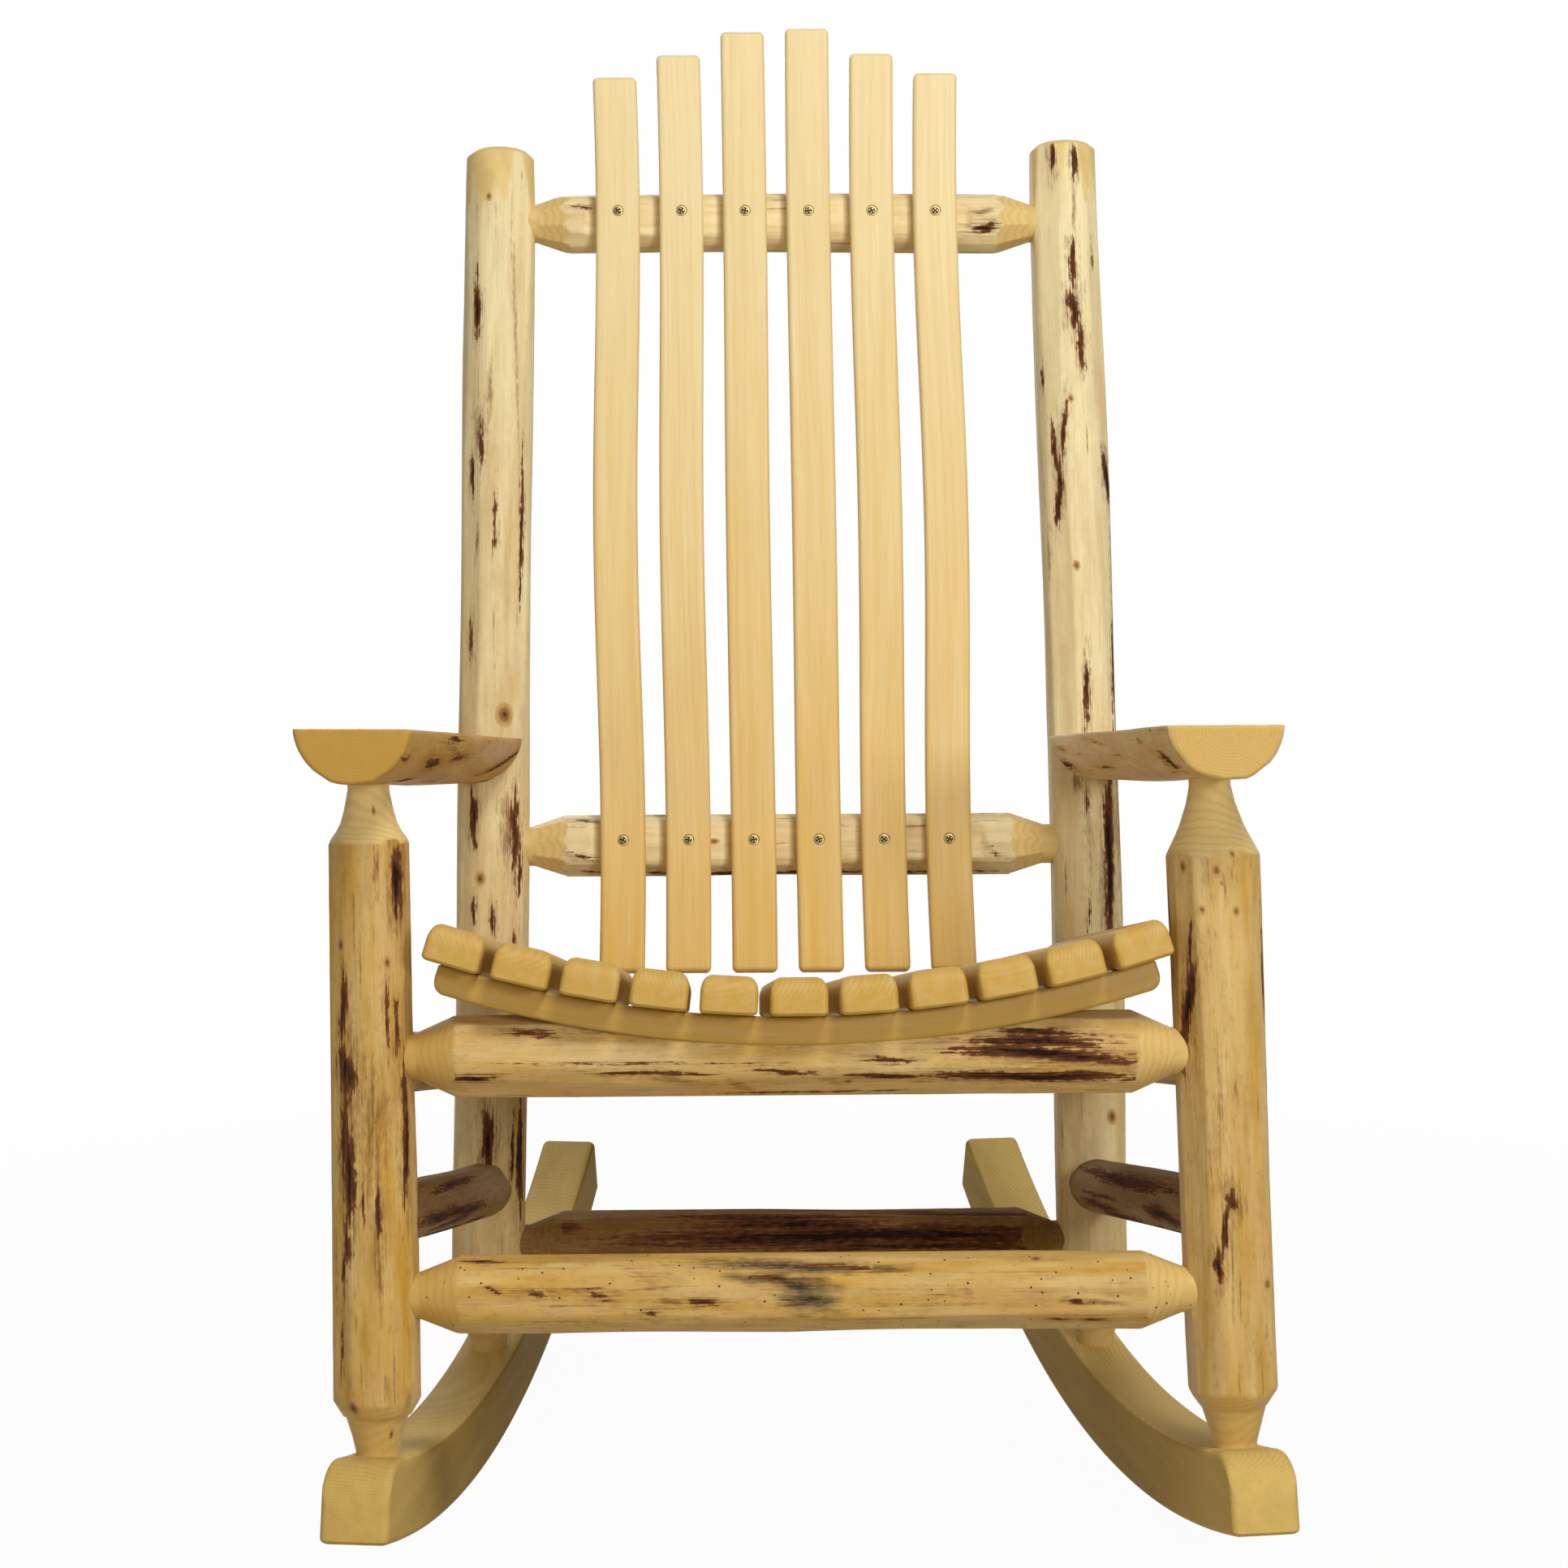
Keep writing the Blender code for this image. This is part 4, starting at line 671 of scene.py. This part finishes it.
# Plated steel: dull yellow, nearly black in the cross recess and the groove round the head, for dirt and
# painted shade
screw_steel = bpy.data.materials.new("screw_steel")
tree = blank(screw_steel)
place = add(tree, "TexCoord", {}).outputs["Object"]
grain = add(tree, "TexNoise", {"Vector": place, "Scale": 1 / .0012, "Detail": 3}).outputs[0]
colour = add(tree, "Mix", {0: grain, 6: hue("8F7D55"), 7: hue("BBA678")}, data_type="RGBA").outputs[2]
recess = add(tree, "Attribute", {}, attribute_name="recess").outputs["Vector"]
dirt_and_recess_shade = add(tree, "SeparateXYZ", {0: recess}).outputs[0]
colour = add(tree, "Mix", {0: dirt_and_recess_shade, 6: colour, 7: hue("4A3B26")}, data_type="RGBA").outputs[2]
dull = add(tree, "MapRange", {"Value": grain, "To Min": .3, "To Max": .5}).outputs[0]
finish = add(tree, "BsdfPrincipled", {"Base Color": colour, "Metallic": 1, "Roughness": dull})
add(tree, "OutputMaterial", {"Surface": finish.outputs[0]})

HEAD, HEAD_DOME, HEAD_SUNK = .0041, .0004, .0008                # the head's radius, rise and depth of rim
SHANK, SHANK_POINT, BACK_SCREW = .0020, .0003, .034             # the shank's radius, its tip's and length
SLOT_HALF, SLOT_REACH, SLOT_DEPTH = .0006, .0021, .0016         # each arm of the cross recess
GROOVE_START, GROOVE_END, GROOVE_DEPTH = .0026, .0032, .0005    # the groove round it


def screw(node, head, way, length, turn):
    """A countersunk screw whose head lies at a point and that goes in along way."""
    bm = bmesh.new()
    bmesh.ops.create_grid(bm, x_segments=28, y_segments=28, size=1)
    for vert in bm.verts:
        flat = Vector((vert.co.x, vert.co.y, 0))
        spread = flat.normalized() * max(abs(flat.x), abs(flat.y)) * HEAD
        aside = min(abs(spread.x), abs(spread.y))
        slot = max(0, 1 - (aside / SLOT_HALF) ** 4) * (spread.length < SLOT_REACH)
        groove = GROOVE_START < spread.length < GROOVE_END
        rise = HEAD_DOME * (1 - (spread.length / HEAD) ** 2) - SLOT_DEPTH * slot - GROOVE_DEPTH * groove
        vert.co = spread + Vector((0, 0, rise - HEAD_SUNK))
    for radius, depth in ((HEAD, .0012), (SHANK, .0028), (SHANK, length - .006), (SHANK_POINT, length)):
        rim = [e for e in bm.edges if e.is_boundary]
        grown = bmesh.ops.extrude_edge_only(bm, edges=rim)["geom"]
        for vert in (v for v in grown if isinstance(v, bmesh.types.BMVert)):
            flat = Vector((vert.co.x, vert.co.y, 0)).normalized() * radius
            vert.co = (flat.x, flat.y, -depth)
    bmesh.ops.holes_fill(bm, edges=[e for e in bm.edges if e.is_boundary])
    bmesh.ops.recalc_face_normals(bm, faces=bm.faces)
    mesh, x, y, z = as_mesh(bm, node)
    # Dirt and painted shade: the cross recess and the groove are marked to be painted nearly black
    dirty_and_shaded = (z < -.0009) & (np.hypot(x, y) < .0033)
    note(mesh, "recess", dirty_and_shaded, dirty_and_shaded, dirty_and_shaded)
    spot = stand(head, -Vector(way), (1, .2, .1)) @ Matrix.Rotation(turn, 4, "Z")
    set_up(mesh, node, spot, screw_steel)
    mesh.set_sharp_from_angle(angle=.6)


for row, reach, way in (("lower", LOWER_SCREW, (0, .95261, -.3042)),
                        ("upper", UPPER_SCREW, (0, .98065, -.19577))):
    for number in range(1, 7):
        across, behind = slat_middle(number, reach)
        head = back_frame @ Vector((across, behind - SLAT_DEPTH / 2, reach))
        screw(f"back_screw_{row}_{number}", head, way, BACK_SCREW, number * 1.9 + reach * 5)


# Seat bearers: two planed pine bows, sawn to the dish of the seat, let into the saddles of the seat rails
# and screwed down there.
SEAT_RUN, SEAT_UP = Vector((0, .98389, -.1788)), Vector((0, .1788, .98389))
DISH = Vector((.00034, -.36506, .3885)) + SEAT_UP * SADDLE_RISE       # the middle of the seat's arc
BEARER_RADIUS, BEARER_HALF_TURN = .8702, .3045
BEARER_WIDTH, BEARER_DEPTH, BEARER_LENGTH = .038, .0209, 2 * BEARER_RADIUS * BEARER_HALF_TURN
BEARER_EASE, BEARER_ROUND = .003, .01
for name, run, seed in (("front", -.01151, 81), ("back", .3735, 82)):
    ends = (.0006, .0013, .0022, .0045, .006, .008, .0095)
    cuts = [*np.arange(-.255, .256, .015),
            *(side * (BEARER_LENGTH / 2 - end) for side in (-1, 1) for end in ends)]
    bm = board(BEARER_WIDTH, BEARER_DEPTH, BEARER_LENGTH, BEARER_EASE, BEARER_EASE, cuts)
    mesh, x, y, z = as_mesh(bm, "seat_bearer_" + name)
    note(mesh, "place", x + .3, y + .004, z + seed)
    fall = round_over(BEARER_ROUND, BEARER_LENGTH / 2 - np.abs(z))
    y = (y + BEARER_DEPTH / 2) * (1 - fall / BEARER_DEPTH) - BEARER_DEPTH / 2
    turn, radius = z / BEARER_RADIUS, BEARER_RADIUS + y
    # The place turns the bow over like a mirror, so its faces are turned out again
    move(mesh, x, radius * np.cos(turn), radius * np.sin(turn))
    mesh.flip_normals()
    spot = Matrix((SEAT_RUN, -SEAT_UP, (1, 0, 0))).transposed().to_4x4()
    spot = Matrix.Translation(DISH + SEAT_RUN * run) @ spot
    # Painted shade: the bearers are toned a deeper brown for the shade under the seat slats
    set_up(mesh, "seat_bearer_" + name, spot, planed_pine, tone_light_and_shade=1.65, even=True)


# Seat slats: eleven thick planed pine slats with well rounded edges, screwed side by side to the bearers
# so that the seat is dished.
SEAT_SLAT_WIDTH, SEAT_SLAT_DEPTH, SEAT_SLAT_LENGTH = .0415, .028, .47623
SEAT_SLAT_EASE, FRONT_ROUND, TOP_ROUND = .0045, .0125, .0092
SEAT_SLAT_TURN, SEAT_SLAT_RADIUS, SEAT_MIDDLE = .058707, .8457, .176115
for number in range(1, 12):
    turn = (number - 6) * SEAT_SLAT_TURN
    across = Vector((cos(turn), 0, 0)) + SEAT_UP * sin(turn)
    outward = Vector((sin(turn), 0, 0)) - SEAT_UP * cos(turn)
    middle = DISH + SEAT_RUN * SEAT_MIDDLE + SEAT_SLAT_RADIUS * outward
    bm = board(SEAT_SLAT_WIDTH, SEAT_SLAT_DEPTH, SEAT_SLAT_LENGTH, SEAT_SLAT_EASE, SEAT_SLAT_EASE,
               cuts=[*np.arange(-.2325, -.224, .0014), *np.arange(-.2, .21, .05)],
               rips=(.0116, .0132, .0148, -.0116, -.0132, -.0148))
    mesh, x, y, z = as_mesh(bm, f"seat_slat_{number}")
    dice = np.random.default_rng(90 + number)
    lean, far = dice.uniform(-1.3, 1.3), dice.uniform(.2, .45)
    note(mesh, "place", x + far * sin(lean), y + far * cos(lean), z + number * 3.1)
    fall = np.hypot(round_over(FRONT_ROUND, z + SEAT_SLAT_LENGTH / 2),
                    round_over(TOP_ROUND, SEAT_SLAT_WIDTH / 2 - np.abs(x)))
    y = SEAT_SLAT_DEPTH / 2 - (SEAT_SLAT_DEPTH / 2 - y) * (1 - fall / SEAT_SLAT_DEPTH)
    move(mesh, x, y, z)
    # Painted shade: the seat slats are toned a deeper golden brown than the back slats for the shade on the
    # seat
    set_up(mesh, f"seat_slat_{number}", stand(middle, SEAT_RUN, across), planed_pine,
           tone_light_and_shade=1.43, even=True)


# Bearer screws: two screws down through each bearer into its rail, of the same plated steel but longer.
# They are seen only through the gaps of the seat.
BEARER_SCREW = .045
for name, y, z in (("front", -.37137, .41809), ("back", .00742, .34925)):
    for side, x, lean in (("left", -.05012, -.05867), ("right", .0508, .05867)):
        screw(f"bearer_screw_{name}_{side}", (x, y, z), (lean, -.17849, -.98219), BEARER_SCREW, x * 30)


# Studio: a white sweep of floor, soft lamps high and low at the front right with weak ones at the left
# and behind, and a camera at the picture's angle.
def watched(tree):
    """Whether a ray of light is looked along, straight or by way of gloss or glass."""
    rays = add(tree, "LightPath", {}).outputs
    seen = add(tree, "Math", {0: rays["Is Camera Ray"], 1: rays["Is Glossy Ray"]},
               operation="MAXIMUM").outputs[0]
    return add(tree, "Math", {0: seen, 1: rays["Is Transmission Ray"]}, operation="MAXIMUM").outputs[0]


bm = bmesh.new()
bmesh.ops.create_grid(bm, x_segments=4, y_segments=4, size=9)
mesh = as_mesh(bm, "floor")[0]
floor = bpy.data.objects.new("floor", mesh)
bpy.context.scene.collection.objects.link(floor)

# White paper: plain white to the eye, with the chair's soft shadow near it
paper = bpy.data.materials.new("white_paper")
tree = blank(paper)
place = add(tree, "TexCoord", {}).outputs["Object"]
spread = add(tree, "VectorMath", {0: place}, operation="LENGTH").outputs["Value"]
near = add(tree, "MapRange", {"Value": spread, "From Min": .8, "From Max": 2.2, "To Min": .97, "To Max": 1},
           interpolation_type="SMOOTHSTEP").outputs[0]
lit = add(tree, "BsdfDiffuse", {"Color": hue("B4A68A")}).outputs[0]
white = add(tree, "Emission", {"Color": hue("FFFFFF"), "Strength": 1}).outputs[0]
shown = add(tree, "MixShader", {0: near, 1: lit, 2: white}).outputs[0]
sheet = add(tree, "MixShader", {0: watched(tree), 1: lit, 2: shown}).outputs[0]
add(tree, "OutputMaterial", {"Surface": sheet})
mesh.materials.append(paper)

world = bpy.data.worlds.new("studio")
bpy.context.scene.world = world
tree = blank(world)
level = add(tree, "MapRange", {"Value": watched(tree), "To Min": .24, "To Max": 1}).outputs[0]
sky = add(tree, "Background", {"Color": hue("FFFFFF"), "Strength": level})
add(tree, "OutputWorld", {"Surface": sky.outputs[0]})

for name, at, aim, size, power in (("key", (.6, -1.7, 2.6), (0, .2, 1), .7, 35),
                                   ("front", (1.2, -2.9, 1.2), (0, 0, .7), .5, 28),
                                   ("fill", (-1.4, -2.6, .7), (0, 0, .6), .8, 9),
                                   ("back", (-.7, 2.6, 1.8), (0, 0, .7), .9, 16)):
    lamp = bpy.data.lights.new(name, "AREA")
    lamp.size, lamp.energy = size, power
    light = bpy.data.objects.new(name, lamp)
    light.location = at
    light.rotation_euler = (Vector(aim) - Vector(at)).to_track_quat("-Z", "Y").to_euler()
    bpy.context.scene.collection.objects.link(light)

view = bpy.data.cameras.new("view")
view.lens, view.sensor_width, view.shift_x, view.shift_y = 77.39, 36, .00083, -.00016
camera = bpy.data.objects.new("view", view)
camera.matrix_world = (Matrix.Translation((-.06849, -2.77702, .8517)) @ Matrix.Rotation(-.0243, 4, "Z")
                       @ Matrix.Rotation(pi / 2 - .1098, 4, "X") @ Matrix.Rotation(-.0023, 4, "Z"))
bpy.context.scene.collection.objects.link(camera)
bpy.context.scene.camera = camera
bpy.context.scene.view_settings.view_transform = "Standard"
